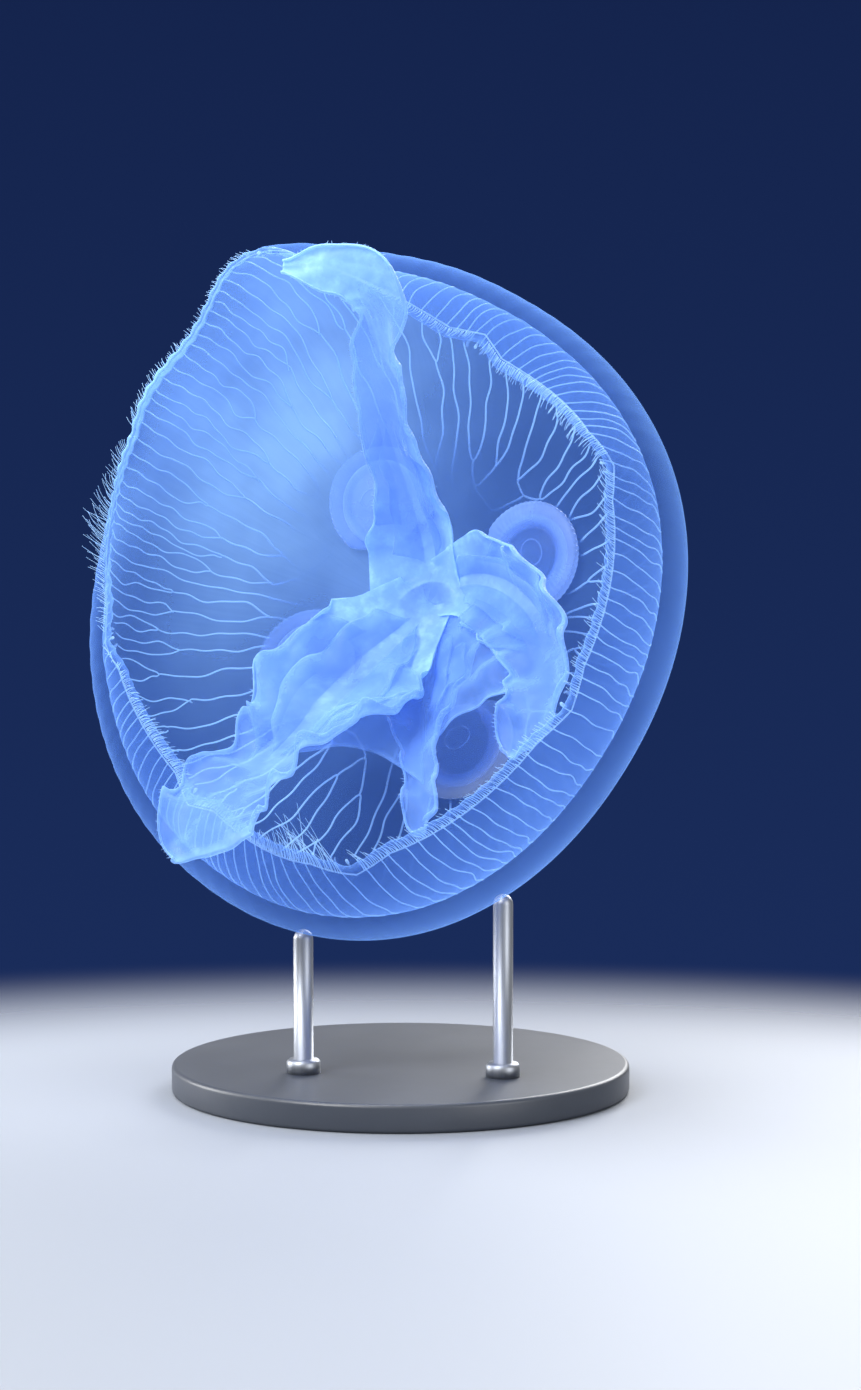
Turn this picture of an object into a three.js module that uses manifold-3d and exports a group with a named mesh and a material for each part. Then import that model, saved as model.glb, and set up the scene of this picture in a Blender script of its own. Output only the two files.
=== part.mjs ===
// A moon jellyfish, life size, held in mid-stroke by a plain display stand.
// Millimetres, +Z up, the origin under the middle of the stand's base. The open side of the bell faces
// the front (-Y) and its crown is turned away, to the right and a little down.
//
// The bell is one curved wall. Its place is given by three numbers: the azimuth round the bell's own axis,
// the reach (0 at the crown's centre, 1 at the margin) and the depth into the flesh from the outer surface.
// The crown, the marginal lobes, the gonads and the fringe of tentacles are all laid out on that wall.
import * as THREE from "three";
import { mergeVertices } from "three/addons/utils/BufferGeometryUtils.js";
import Module from "manifold-3d";

const wasm = await Module();
wasm.setup();

// ---- Driving dimensions, in millimetres and degrees ----

const GAP = 0.3; // clearance between neighbouring solids

// Bell: where it hangs and how it is turned
const BELL_CENTRE = new THREE.Vector3(-24, -22, 190);
const GAZE_DROP = 4; // the line of sight that the pose is square to drops this much
const CROWN_TILT = 28; // between that line of sight and the bell's axis
const CROWN_TURN = 29; // the tilt leans to the right, this far below level
const CROWN_HEIGHT = 95; // crown's outer surface behind the bell's centre, along its axis

// Bell: its wall, from the crown to the margin of each of the eight lobes
const LOBES = 8;
const FIRST_LOBE = 10; // azimuth of the first sense organ, where the first lobe begins
const LOBE_LENGTH = [194, 186, 207, 168, 178, 201, 230, 199]; // along the wall, from the crown's centre
const LOBE_CURL = [122, 186, 125, 115, 165, 192, 130, 112]; // how far the wall has turned at the margin
const SHOULDER = 0.78; // reach at which the wall has turned square to the crown
const CROWN_FLATNESS = 2; // how late the wall turns on its way to the shoulder
const LENGTHS_DIFFER_FROM = 0.5; // nearer the crown than this reach the wall is the same all round
const FLARE_AZIMUTH = 112; // the lobe that stands open is drawn tight between its sense organs
const FLARE_WIDTH = 25;
const FLARE_PINCH = 0.05;
const CROWN_THICKNESS = 13;
const RIM_THICKNESS = 2;
const THINNING = 3; // power with which the wall thins towards the margin
const CROWN_EDGE = 0.42; // reach at which the crown ends and the lobes begin
const NOTCH_DEPTH = 5; // niche of a sense organ in the margin
const NOTCH_WIDTH = 7.5; // half its angle

// Sense organs, tentacles, gonads
const RHOPALIUM_LENGTH = 3.2;
const RHOPALIUM_WIDTH = 1.9;
const RHOPALIUM_AIM = 0.005; // its line is read from the wall over this reach to each side
const FRINGE_LENGTH = [7, 6, 5, 6, 11, 6, 20, 7];
const FRINGE_TURN = [10, 0, -35, -50, -55, 10, 25, 15]; // turn away from the wall's own line at the margin
const FRINGE_THICKNESS = 1.6;
const FRINGE_CLEARANCE = 2.1; // from the margin to the first tentacle roots
const FRINGE_WAVE = 5;
const FRINGE_BESIDE_ORGAN = 2.6; // angle that each fringe leaves free beside a sense organ
const GONAD_AZIMUTH = [21, 109, 197, 288];
const GONAD_RING = [46.5, 48, 46, 54]; // from the bell's axis to the middle of each horseshoe
const HORSESHOE_RADIUS = 16;
const HORSESHOE_OPENING = 84; // gap that faces the axis
const GONAD_WIDTH = 9.5;
const GONAD_THICKNESS = 6;
const GONAD_EDGE = 0.35; // share of the thickness that is left at its edges
const GONAD_END = 0.5; // share of the width and thickness that is left at its two ends
const GONAD_CLEARANCE = 0.45;

// Stalk of the mouth
const STALK_RADIUS = 15;
const STALK_WAIST = 11;
const STALK_LENGTH = 21;
const STALK_CLEARANCE = 0.4;
const MOUTH_RADIUS = 5.5;
const MOUTH_DEPTH = 5;
const STALK_LEAN = 9; // how far the mouth hangs off the axis, to the right
const STALK_CORNERS = 0.16; // the stalk is four-cornered, one corner to each arm
const FIRST_CORNER = 63; // azimuth of the first of them

// Oral arms: ribbons that leave the four corners of the stalk.
// path: azimuth, distance from the axis and distance in front of the crown.
// clockwise and counter (how far its two flaps reach from its midline), fold (depth of its gutter) and
// frill are given at equal steps from the root to the tip.
const ARM_THICKNESS = 2.2;
const ORAL_ARMS = [
  {
    path: [
      [26, 12, 31], [62, 24, 36], [75, 38, 47], [81, 54, 62],
      [80, 66, 78], [77, 78, 94], [74, 88, 110], [76, 94, 122], [82, 96.5, 128], [91, 97, 131],
    ],
    clockwise: [12, 10, 10, 10, 10, 11, 12, 13, 13, 12.5, 7, 3],
    counter: [24, 24, 19, 12, 10, 10, 10, 9, 8, 8, 9, 5],
    fold: [4, 4, 4, 3, 2, 1, 0],
    frill: [1, 0.6, 0.6, 0.6, 1, 1],
    frills: 5,
    roll: [0, 0, 0, -5, -10],
  },
  {
    path: [
      [4, 11, 31], [282, 11, 38], [250, 27, 50], [248, 46, 66],
      [250, 63, 84], [252, 79, 104], [253, 91, 118], [254, 101, 127], [257, 112, 133],
    ],
    clockwise: [16, 23, 27, 32, 21, 19, 25, 23, 17],
    counter: [10, 18, 32, 37, 31, 20, 18, 21, 22],
    fold: [4, 6, 8, 7, 4, 2],
    frill: [1, 2, 3, 3, 3, 2],
    frills: 6,
    roll: [0, 0, 8, 8, 0],
  },
  {
    path: [[344, 11, 31], [299, 24, 36], [289, 45, 48], [288, 68, 64], [288, 89, 78], [288, 104, 88]],
    clockwise: [12, 20, 14, 7, 6, 6],
    counter: [12, 20, 16, 7, 6, 6],
    fold: [2, 2, 3, 2, 1],
    frill: [1, 0.6, 0.6, 1, 1],
    frills: 5,
    roll: [0, 0, 0],
  },
  {
    path: [
      [17, 14, 31], [12, 28, 37], [0, 43, 44], [347, 59, 52],
      [335, 73, 61], [326, 85, 70], [317, 93, 79], [311, 99, 87],
    ],
    clockwise: [10, 17, 21, 21, 16, 15, 13, 9],
    counter: [12, 15, 15, 13, 13, 11, 9, 7],
    fold: [4, 6, 6, 5, 3],
    frill: [1, 2, 2, 2, 2],
    frills: 6,
    roll: [0, 10, 15, 10, 5],
  },
];
const ARM_LENGTHS = { base: [0.12, 0.4], middle: [0.4, 0.7], tip: [0.7, 1] };

// Stand
const BASE_RADIUS = 82;
const BASE_THICKNESS = 10;
const BASE_EDGE = 1.5;
const ROD_RADIUS = 3.5;
const ROD_BITE = 3; // the rod's end is shaped to the wall over this height
const RODS = { left: -34, right: 36 }; // each stands where the bell hangs lowest, this far to the side
const LOWER_LOBES = [4, 5, 6, 7]; // the rods can only meet these

// Fineness of the faceted solids
const WALL_AROUND = 6;
const WALL_ALONG = 10;
const CROWN_RINGS = 5;
const ARM_ACROSS = 6;
const ARM_ALONG = 8;
const ROOT_ALONG = 2;
const STALK_AROUND = 16;
const STAND_AROUND = 40;
const ROD_AROUND = 16;
const PROFILE_STEPS = 120;
const FRINGE_ROWS = 3;
const ORGAN_STEPS = { around: 6, along: 4 };
const HORSESHOE_ACROSS = 4;
const HORSESHOE_STEPS = 12;
const HORSESHOE_ENDS = 0.08; // share of its length over which each end tapers
const HALVINGS = 24; // steps of the search for a place under the crown

const FLESH = new THREE.MeshStandardMaterial({ color: 0x7fa6f0, roughness: 0.25, metalness: 0 });
const RIM_FLESH = new THREE.MeshStandardMaterial({ color: 0xc2dbff, roughness: 0.35, metalness: 0 });
const ARM_FLESH = new THREE.MeshStandardMaterial({ color: 0x9dc0fb, roughness: 0.3, metalness: 0 });
const GONAD_FLESH = new THREE.MeshStandardMaterial({ color: 0xcdc6ea, roughness: 0.5, metalness: 0 });
const PAINT = new THREE.MeshStandardMaterial({ color: 0x20262e, roughness: 0.5, metalness: 0.3 });
const STEEL = new THREE.MeshStandardMaterial({ color: 0xc8ccd0, roughness: 0.35, metalness: 1 });

// ---- Small helpers ----

const DEG = Math.PI / 180;
const clamp01 = (x) => Math.min(Math.max(x, 0), 1);
const smooth = (x) => clamp01(x) ** 2 * (3 - 2 * clamp01(x));
const mean = (list) => list.reduce((sum, x) => sum + x, 0) / list.length;

// A bell curve round the compass, 1 at its own azimuth.
function bump(azimuth, at, width) {
  const away = ((((azimuth - at + 180) % 360) + 360) % 360) - 180;
  return Math.exp(-((away / width) ** 2));
}

// A curve through four neighbouring values, between the middle two.
function cubic(before, from, to, after, f) {
  const bend = 3 * (from - to) + after - before;
  return from + 0.5 * f * (to - before + f * (2 * before - 5 * from + 4 * to - after + f * bend));
}

// A value given at the eight sense organs, taken smoothly at any azimuth.
function roundTheBell(list, azimuth) {
  const place = (((azimuth - FIRST_LOBE) / 360) * LOBES + 2 * LOBES) % LOBES;
  const i = Math.floor(place);
  const at = (k) => list[(i + k + LOBES) % LOBES];
  return cubic(at(-1), at(0), at(1), at(2), place - i);
}

// A value given at equal steps from 0 to 1, taken smoothly at t.
function alongTheWay(list, t) {
  const place = clamp01(t) * (list.length - 1);
  const i = Math.min(Math.floor(place), list.length - 2);
  const at = (k) => list[Math.min(Math.max(i + k, 0), list.length - 1)];
  return cubic(at(-1), at(0), at(1), at(2), place - i);
}

// Shared corners merged, faces without area dropped, all faces turned outwards.
function closed(geometry) {
  geometry.deleteAttribute("normal");
  geometry.deleteAttribute("uv");
  const merged = mergeVertices(geometry, 1e-3);
  const index = merged.index.array;
  const position = merged.attributes.position;
  const corners = [new THREE.Vector3(), new THREE.Vector3(), new THREE.Vector3()];
  const kept = [];
  let volume = 0;
  for (let i = 0; i < index.length; i += 3) {
    const [a, b, c] = index.slice(i, i + 3);
    if (a === b || b === c || c === a) continue;
    kept.push([a, b, c]);
    [a, b, c].forEach((vertex, k) => corners[k].fromBufferAttribute(position, vertex));
    volume += corners[0].dot(corners[1].clone().cross(corners[2]));
  }
  merged.setIndex(kept.flatMap(([a, b, c]) => (volume < 0 ? [a, c, b] : [a, b, c])));
  merged.computeVertexNormals();
  return merged;
}

// A box of unit size with each vertex moved to place(u, v, w), where u, v and w run from 0 to 1.
function bentBox(stepsU, stepsV, stepsW, place) {
  const geometry = new THREE.BoxGeometry(1, 1, 1, stepsU, stepsV, stepsW);
  const position = geometry.attributes.position;
  for (let i = 0; i < position.count; i++) {
    const at = place(position.getX(i) + 0.5, position.getY(i) + 0.5, position.getZ(i) + 0.5);
    position.setXYZ(i, at.x, at.y, at.z);
  }
  return closed(geometry);
}

// A lathed profile with each vertex moved to place(azimuth in degrees, radius, height).
function bentLathe(profile, around, startAzimuth, place) {
  const geometry = new THREE.LatheGeometry(profile, around);
  const position = geometry.attributes.position;
  for (let i = 0; i < position.count; i++) {
    const x = position.getX(i);
    const z = position.getZ(i);
    const at = place(Math.atan2(z, x) / DEG + startAzimuth, Math.hypot(x, z), position.getY(i));
    position.setXYZ(i, at.x, at.y, at.z);
  }
  return closed(geometry);
}

function toSolid(geometry) {
  const vertProperties = new Float32Array(geometry.attributes.position.array);
  const triVerts = new Uint32Array(geometry.index.array);
  return new wasm.Manifold(new wasm.Mesh({ numProp: 3, vertProperties, triVerts }));
}

function toGeometry(solid) {
  const mesh = solid.getMesh();
  const geometry = new THREE.BufferGeometry();
  geometry.setAttribute("position", new THREE.BufferAttribute(new Float32Array(mesh.vertProperties), 3));
  geometry.setIndex([...mesh.triVerts]);
  geometry.computeVertexNormals();
  return geometry;
}

const joined = (a, b) => toGeometry(toSolid(a).add(toSolid(b)));
const cutAway = (a, b) => toGeometry(toSolid(a).subtract(toSolid(b)));

function part(name, geometry, material) {
  const mesh = new THREE.Mesh(geometry, material);
  mesh.name = name;
  return mesh;
}

// ---- The bell's own frame and its wall ----

const TO_THE_RIGHT = new THREE.Vector3(1, 0, 0);
const AWAY = new THREE.Vector3(0, Math.cos(GAZE_DROP * DEG), -Math.sin(GAZE_DROP * DEG));
const UPWARDS = TO_THE_RIGHT.clone().cross(AWAY);
const CROWNWARDS = new THREE.Vector3()
  .addScaledVector(TO_THE_RIGHT, Math.sin(CROWN_TILT * DEG) * Math.cos(CROWN_TURN * DEG))
  .addScaledVector(UPWARDS, -Math.sin(CROWN_TILT * DEG) * Math.sin(CROWN_TURN * DEG))
  .addScaledVector(AWAY, Math.cos(CROWN_TILT * DEG));
const MOUTHWARDS = CROWNWARDS.clone().negate();
const SIDE = TO_THE_RIGHT.clone().addScaledVector(CROWNWARDS, -TO_THE_RIGHT.dot(CROWNWARDS)).normalize();
const RISE = MOUTHWARDS.clone().cross(SIDE);

// A point by its azimuth, its distance from the bell's axis and its distance in front of the crown.
function bellPoint(azimuth, radius, drop) {
  return BELL_CENTRE.clone()
    .addScaledVector(SIDE, radius * Math.cos(azimuth * DEG))
    .addScaledVector(RISE, radius * Math.sin(azimuth * DEG))
    .addScaledVector(CROWNWARDS, CROWN_HEIGHT - drop);
}

const MEAN_LENGTH = mean(LOBE_LENGTH);

// How far the wall's line has turned from the crown's plane, in degrees.
function wallTurn(azimuth, reach) {
  const marginTurn = roundTheBell(LOBE_CURL, azimuth);
  const toShoulder = 90 * clamp01(reach / SHOULDER) ** CROWN_FLATNESS;
  return toShoulder + (marginTurn - 90) * clamp01((reach - SHOULDER) / (1 - SHOULDER));
}

// The wall's length at this azimuth, with the pinch between the sense organs of the open side.
function wallLength(azimuth) {
  const pinch = FLARE_PINCH * bump(azimuth, FLARE_AZIMUTH, FLARE_WIDTH);
  return roundTheBell(LOBE_LENGTH, azimuth) * (1 + pinch * Math.cos((azimuth - FIRST_LOBE) * DEG * LOBES));
}

// The outer surface's line at one azimuth: its radius and drop at equal steps of reach.
const profiles = new Map();
function wallProfile(azimuth) {
  const key = azimuth.toFixed(3);
  if (profiles.has(key)) return profiles.get(key);
  const line = [{ radius: 0, drop: 0 }];
  const length = wallLength(azimuth);
  for (let i = 0; i < PROFILE_STEPS; i++) {
    const reach = (i + 0.5) / PROFILE_STEPS;
    const own = smooth((i + 1) / PROFILE_STEPS / LENGTHS_DIFFER_FROM);
    const step = (MEAN_LENGTH + (length - MEAN_LENGTH) * own) / PROFILE_STEPS;
    const turn = wallTurn(azimuth, reach) * DEG;
    const last = line[i];
    line.push({ radius: last.radius + step * Math.cos(turn), drop: last.drop + step * Math.sin(turn) });
  }
  profiles.set(key, line);
  return line;
}

const wallThickness = (reach) => RIM_THICKNESS + (CROWN_THICKNESS - RIM_THICKNESS) * (1 - reach ** THINNING);

// Radius and drop of a point of the wall, this deep under its outer surface.
function wallPlace(azimuth, reach, depth) {
  const line = wallProfile(azimuth);
  const place = reach * PROFILE_STEPS;
  const i = Math.min(Math.floor(place), PROFILE_STEPS - 1);
  const mix = (key) => line[i][key] + (line[i + 1][key] - line[i][key]) * (place - i);
  const turn = wallTurn(azimuth, reach) * DEG;
  return { radius: mix("radius") - depth * Math.sin(turn), drop: mix("drop") + depth * Math.cos(turn), turn };
}

function wallPoint(azimuth, reach, depth) {
  const { radius, drop } = wallPlace(azimuth, reach, depth);
  return bellPoint(azimuth, radius, drop);
}

// Reach at which the wall ends: 1, but less in the niche of a sense organ.
function marginReach(azimuth) {
  const lobe = 360 / LOBES;
  const fromOrgan = Math.abs(((((azimuth - FIRST_LOBE + lobe / 2) % lobe) + lobe) % lobe) - lobe / 2);
  return 1 - (NOTCH_DEPTH / MEAN_LENGTH) * Math.max(0, 1 - fromOrgan / NOTCH_WIDTH);
}

const organAzimuth = (lobe) => FIRST_LOBE + (lobe * 360) / LOBES;

// ---- Flesh of the bell ----

function crown() {
  const edge = CROWN_EDGE - GAP / 2 / MEAN_LENGTH;
  const outer = [];
  const inner = [];
  for (let i = 0; i <= CROWN_RINGS; i++) {
    outer.push(new THREE.Vector2((edge * i) / CROWN_RINGS, 0));
    inner.unshift(new THREE.Vector2((edge * i) / CROWN_RINGS, 1));
  }
  const profile = [...outer, ...inner];
  return bentLathe(profile, LOBES * WALL_AROUND, FIRST_LOBE, (azimuth, reach, w) =>
    wallPoint(azimuth, reach, w * wallThickness(reach)),
  );
}

// One lobe's wall, from the crown's edge to the margin. raised moves its outer surface outwards.
function lobe(number, raised = 0) {
  const from = organAzimuth(number);
  const width = 360 / LOBES;
  const start = CROWN_EDGE + GAP / 2 / MEAN_LENGTH;
  return bentBox(WALL_AROUND, WALL_ALONG, 1, (u, v, w) => {
    const azimuth = from + width * u;
    const reach = start + (marginReach(azimuth) - start) * v;
    const depth = w * wallThickness(reach) - (1 - w) * raised;
    const { radius, drop } = wallPlace(azimuth, reach, depth);
    const trim = GAP / 2 / Math.max(radius, 1) / DEG;
    return bellPoint(azimuth + trim * (u < 0.01 ? 1 : 0) - trim * (u > 0.99 ? 1 : 0), radius, drop);
  });
}

// A sense organ: a small club in its niche, lying along the wall.
function rhopalium(number) {
  const azimuth = organAzimuth(number);
  const reach = 1 - (NOTCH_DEPTH / 2) / MEAN_LENGTH;
  const from = wallPoint(azimuth, reach - RHOPALIUM_AIM, RIM_THICKNESS / 2);
  const to = wallPoint(azimuth, reach + RHOPALIUM_AIM, RIM_THICKNESS / 2);
  const geometry = new THREE.SphereGeometry(0.5, ORGAN_STEPS.around, ORGAN_STEPS.along);
  geometry.scale(RHOPALIUM_WIDTH, RHOPALIUM_LENGTH, RHOPALIUM_WIDTH);
  const along = to.clone().sub(from).normalize();
  geometry.applyQuaternion(new THREE.Quaternion().setFromUnitVectors(new THREE.Vector3(0, 1, 0), along));
  const middle = from.add(to).multiplyScalar(0.5);
  geometry.translate(middle.x, middle.y, middle.z);
  return closed(geometry);
}

// The row of tentacles along one lobe, as the thin skirt that they fill.
function fringe(number) {
  const from = organAzimuth(number) + FRINGE_BESIDE_ORGAN;
  const width = 360 / LOBES - 2 * FRINGE_BESIDE_ORGAN;
  return bentBox(WALL_AROUND, FRINGE_ROWS, 1, (u, v, w) => {
    const azimuth = from + width * u;
    const end = wallPlace(azimuth, marginReach(azimuth), RIM_THICKNESS / 2);
    const wave = FRINGE_WAVE * Math.cos(azimuth * DEG * 2 * LOBES);
    const turn = end.turn + (roundTheBell(FRINGE_TURN, azimuth) + wave) * DEG;
    const out = FRINGE_CLEARANCE + v * roundTheBell(FRINGE_LENGTH, azimuth);
    const depth = (w - 0.5) * FRINGE_THICKNESS;
    const radius = end.radius + out * Math.cos(turn) - depth * Math.sin(turn);
    return bellPoint(azimuth, radius, end.drop + out * Math.sin(turn) + depth * Math.cos(turn));
  });
}

// ---- Gonads ----

// A point this far from the axis and this far clear of the wall's inner surface.
function underTheCrown(azimuth, radius, clear) {
  let low = 0;
  let high = SHOULDER;
  for (let i = 0; i < HALVINGS; i++) {
    const reach = (low + high) / 2;
    const place = wallPlace(azimuth, reach, wallThickness(reach) + clear);
    if (place.radius < radius) low = reach;
    else high = reach;
  }
  return wallPoint(azimuth, low, wallThickness(low) + clear);
}

// A flat horseshoe that bulges in the middle of its band and tapers at its two ends.
function gonad(number) {
  return bentBox(HORSESHOE_ACROSS, HORSESHOE_STEPS, 1, (u, v, w) => {
    const full = GONAD_END + (1 - GONAD_END) * smooth(Math.min(v, 1 - v) / HORSESHOE_ENDS);
    const bulge = GONAD_EDGE + (1 - GONAD_EDGE) * Math.sqrt(1 - (2 * u - 1) ** 2);
    const turn = (360 - HORSESHOE_OPENING) * (v - 0.5) * DEG;
    const away = HORSESHOE_RADIUS + (u - 0.5) * GONAD_WIDTH * full;
    const outwards = GONAD_RING[number] + away * Math.cos(turn);
    const sideways = away * Math.sin(turn);
    const azimuth = GONAD_AZIMUTH[number] + Math.atan2(sideways, outwards) / DEG;
    const height = GONAD_THICKNESS / 2 + (w - 0.5) * GONAD_THICKNESS * bulge * full;
    return underTheCrown(azimuth, Math.hypot(outwards, sideways), GONAD_CLEARANCE + height);
  });
}

// ---- Oral arms and the stalk they hang from ----

function armCurve(arm) {
  return new THREE.CatmullRomCurve3(arm.path.map((place) => bellPoint(...place)));
}

// A length of a ribbon: a gutter whose two edges are frilled and which rolls as it goes.
function ribbon(arm, [from, to], stepsAlong = ARM_ALONG) {
  const curve = armCurve(arm);
  const trim = GAP / 2 / curve.getLength();
  return bentBox(ARM_ACROSS, stepsAlong, 1, (u, v, w) => {
    const t = from + trim + (to - from - 2 * trim) * v;
    const across = 2 * u - 1;
    const along = curve.getTangentAt(t);
    const face = MOUTHWARDS.clone().addScaledVector(along, -MOUTHWARDS.dot(along)).normalize();
    face.applyAxisAngle(along, alongTheWay(arm.roll, t) * DEG);
    const sideways = along.clone().cross(face);
    const phase = 2 * Math.PI * arm.frills * t + (across > 0 ? 0 : 2);
    const lift =
      alongTheWay(arm.fold, t) * (across ** 2 - 0.3) +
      alongTheWay(arm.frill, t) * across ** 2 * Math.sin(phase) +
      (w - 0.5) * ARM_THICKNESS;
    const flap = alongTheWay(across > 0 ? arm.clockwise : arm.counter, t);
    return curve.getPointAt(t).addScaledVector(sideways, across * flap).addScaledVector(face, lift);
  });
}

function stalk() {
  const outline = [
    [0, STALK_CLEARANCE],
    [STALK_RADIUS, STALK_CLEARANCE],
    [STALK_WAIST + 1, STALK_LENGTH * 0.3],
    [STALK_WAIST, STALK_LENGTH * 0.6],
    [STALK_WAIST + 1, STALK_LENGTH],
    [MOUTH_RADIUS, STALK_LENGTH - 0.5],
    [MOUTH_RADIUS * 0.7, STALK_LENGTH - MOUTH_DEPTH],
    [0, STALK_LENGTH - MOUTH_DEPTH],
  ];
  const profile = outline.map(([radius, length]) => new THREE.Vector2(radius, length));
  const column = bentLathe(profile, STALK_AROUND, 0, (azimuth, radius, length) => {
    const corner = 1 + STALK_CORNERS * (length / STALK_LENGTH) * Math.cos((azimuth - FIRST_CORNER) * DEG * 4);
    return bellPoint(azimuth, radius * corner, CROWN_THICKNESS + length).addScaledVector(
      SIDE,
      (STALK_LEAN * length) / STALK_LENGTH,
    );
  });
  const root = [0, ARM_LENGTHS.base[0]];
  return ORAL_ARMS.reduce((whole, arm) => joined(whole, ribbon(arm, root, ROOT_ALONG)), column);
}

// ---- Stand ----

function turned(profile, around) {
  const geometry = new THREE.LatheGeometry(
    profile.map(([radius, height]) => new THREE.Vector2(radius, height)),
    around,
  );
  geometry.rotateX(Math.PI / 2);
  return geometry;
}

function standBase() {
  const inner = BASE_RADIUS - BASE_EDGE;
  const shoulder = BASE_THICKNESS - BASE_EDGE;
  const side = [[BASE_RADIUS, 0], [BASE_RADIUS, shoulder], [inner, BASE_THICKNESS]];
  const outline = [[0, 0], ...side, [0, BASE_THICKNESS]];
  return closed(turned(outline, STAND_AROUND));
}

// The lowest point of the bell's underside this far to the side.
function lowestAt(x) {
  let lowest = new THREE.Vector3(x, 0, Infinity);
  for (let azimuth = 180; azimuth < 360; azimuth += 1) {
    for (let reach = CROWN_EDGE; reach < 1; reach += 0.01) {
      const at = wallPoint(azimuth, reach, 0);
      if (Math.abs(at.x - x) < ROD_RADIUS / 2 && at.z < lowest.z) lowest = at;
    }
  }
  return lowest;
}

// A rod from the base up to the bell, its end shaped to the wall that it carries.
function standRod(x) {
  const foot = BASE_THICKNESS + GAP;
  const rest = lowestAt(x);
  const top = rest.z + ROD_BITE;
  const rod = turned([[0, foot], [ROD_RADIUS, foot], [ROD_RADIUS, top], [0, top]], ROD_AROUND);
  rod.translate(x, rest.y, 0);
  let shaped = closed(rod);
  for (const number of LOWER_LOBES) shaped = cutAway(shaped, lobe(number, GAP));
  return shaped;
}

// ---- The whole model ----

const bell = new THREE.Group();
bell.add(part("bell_crown", crown(), FLESH));
for (let number = 0; number < LOBES; number++) {
  bell.add(part(`bell_lobe_${number + 1}`, lobe(number), FLESH));
  bell.add(part(`rhopalium_${number + 1}`, rhopalium(number), RIM_FLESH));
  bell.add(part(`tentacle_fringe_${number + 1}`, fringe(number), RIM_FLESH));
}
GONAD_AZIMUTH.forEach((_, number) => bell.add(part(`gonad_${number + 1}`, gonad(number), GONAD_FLESH)));

const arms = new THREE.Group();
arms.add(part("manubrium", stalk(), ARM_FLESH));
ORAL_ARMS.forEach((arm, number) => {
  for (const [length, span] of Object.entries(ARM_LENGTHS)) {
    arms.add(part(`oral_arm_${number + 1}_${length}`, ribbon(arm, span), ARM_FLESH));
  }
});

const stand = new THREE.Group();
stand.add(part("stand_base", standBase(), PAINT));
for (const [side, x] of Object.entries(RODS)) stand.add(part(`stand_rod_${side}`, standRod(x), STEEL));

const jellyfish = new THREE.Group();
jellyfish.add(bell, arms, stand);

export default jellyfish;
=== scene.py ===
"""Looks of a life-size moon jellyfish model on its display stand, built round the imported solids.

Sizes are in millimetres and degrees, and become metres where a mesh's vertices are placed. The bell is one
curved wall. A place on it is given by the azimuth round the bell's own axis, the reach (0 at the crown's
centre, 1 at the margin) and the depth into the flesh from the outer surface.
"""

import logging
import math
from collections.abc import Iterable, Sequence
from dataclasses import dataclass
from enum import Enum
from functools import cached_property
from typing import Any

import bmesh
import bpy
import numpy as np
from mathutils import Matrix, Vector
from mathutils.kdtree import KDTree


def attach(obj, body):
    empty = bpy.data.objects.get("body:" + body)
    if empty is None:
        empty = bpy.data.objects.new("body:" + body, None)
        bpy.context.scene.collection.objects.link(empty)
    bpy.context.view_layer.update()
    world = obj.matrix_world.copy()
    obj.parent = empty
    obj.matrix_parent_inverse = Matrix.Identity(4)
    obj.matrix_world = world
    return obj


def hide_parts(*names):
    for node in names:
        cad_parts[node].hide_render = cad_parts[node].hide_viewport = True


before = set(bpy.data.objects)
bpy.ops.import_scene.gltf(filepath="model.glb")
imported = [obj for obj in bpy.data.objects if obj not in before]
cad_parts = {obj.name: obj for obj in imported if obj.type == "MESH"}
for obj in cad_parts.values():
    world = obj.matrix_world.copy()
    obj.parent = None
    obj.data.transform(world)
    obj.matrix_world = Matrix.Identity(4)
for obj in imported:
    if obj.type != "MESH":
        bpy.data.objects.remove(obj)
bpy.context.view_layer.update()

LOG = logging.getLogger("jellyfish")
MM = 0.001
SEED = 20
BODY = "root"
MERGE = 1e-6
TINY = 1e-12
BAKE_MAP = "OFBake"
BAKE_PATCH = 0.003

Array = np.ndarray
Colour = tuple[float, float, float]
Band = tuple[float, float]
CanalPath = list[tuple[float, float]]


class Slot(Enum):
    """The record's material slots."""

    BELL = "bell_flesh"
    MARGIN = "margin_flesh"
    GONAD = "gonad_flesh"
    ARM = "arm_flesh"
    PAINT = "stand_paint"
    STEEL = "stand_steel"


# ---- Numbers ----


def smooth(x: Array) -> Array:
    """Eases from 0 to 1 as x goes from 0 to 1."""
    t = np.clip(x, 0.0, 1.0)
    return t * t * (3 - 2 * t)


def ramp(x: Array, start: float, width: float) -> Array:
    """Eases from 0 to 1 as x goes on from the start by the width."""
    return smooth((x - start) / width)


def between(start: Array, end: Array, share: Array) -> Array:
    """Goes from the start to the end by this share of the way."""
    return start + (end - start) * share


def bell_curve(away: Array, width: float) -> Array:
    """A bell curve, 1 in its middle."""
    return np.exp(-((away / width) ** 2))


def unit(vectors: Array) -> Array:
    """Scales vectors, one in each row, to length 1."""
    return vectors / np.maximum(np.linalg.norm(vectors, axis=-1, keepdims=True), TINY)


def bump(azimuth: Array, at: float, width: float) -> Array:
    """A bell curve round the compass, 1 at its own azimuth."""
    return bell_curve((azimuth - at + 180) % 360 - 180, width)


def cubic(before: Array, start: Array, end: Array, after: Array, f: Array) -> Array:
    """A curve through four neighbouring values, between the middle two."""
    bend = 3 * (start - end) + after - before
    return start + 0.5 * f * (end - before + f * (2 * before - 5 * start + 4 * end - after + f * bend))


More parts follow.
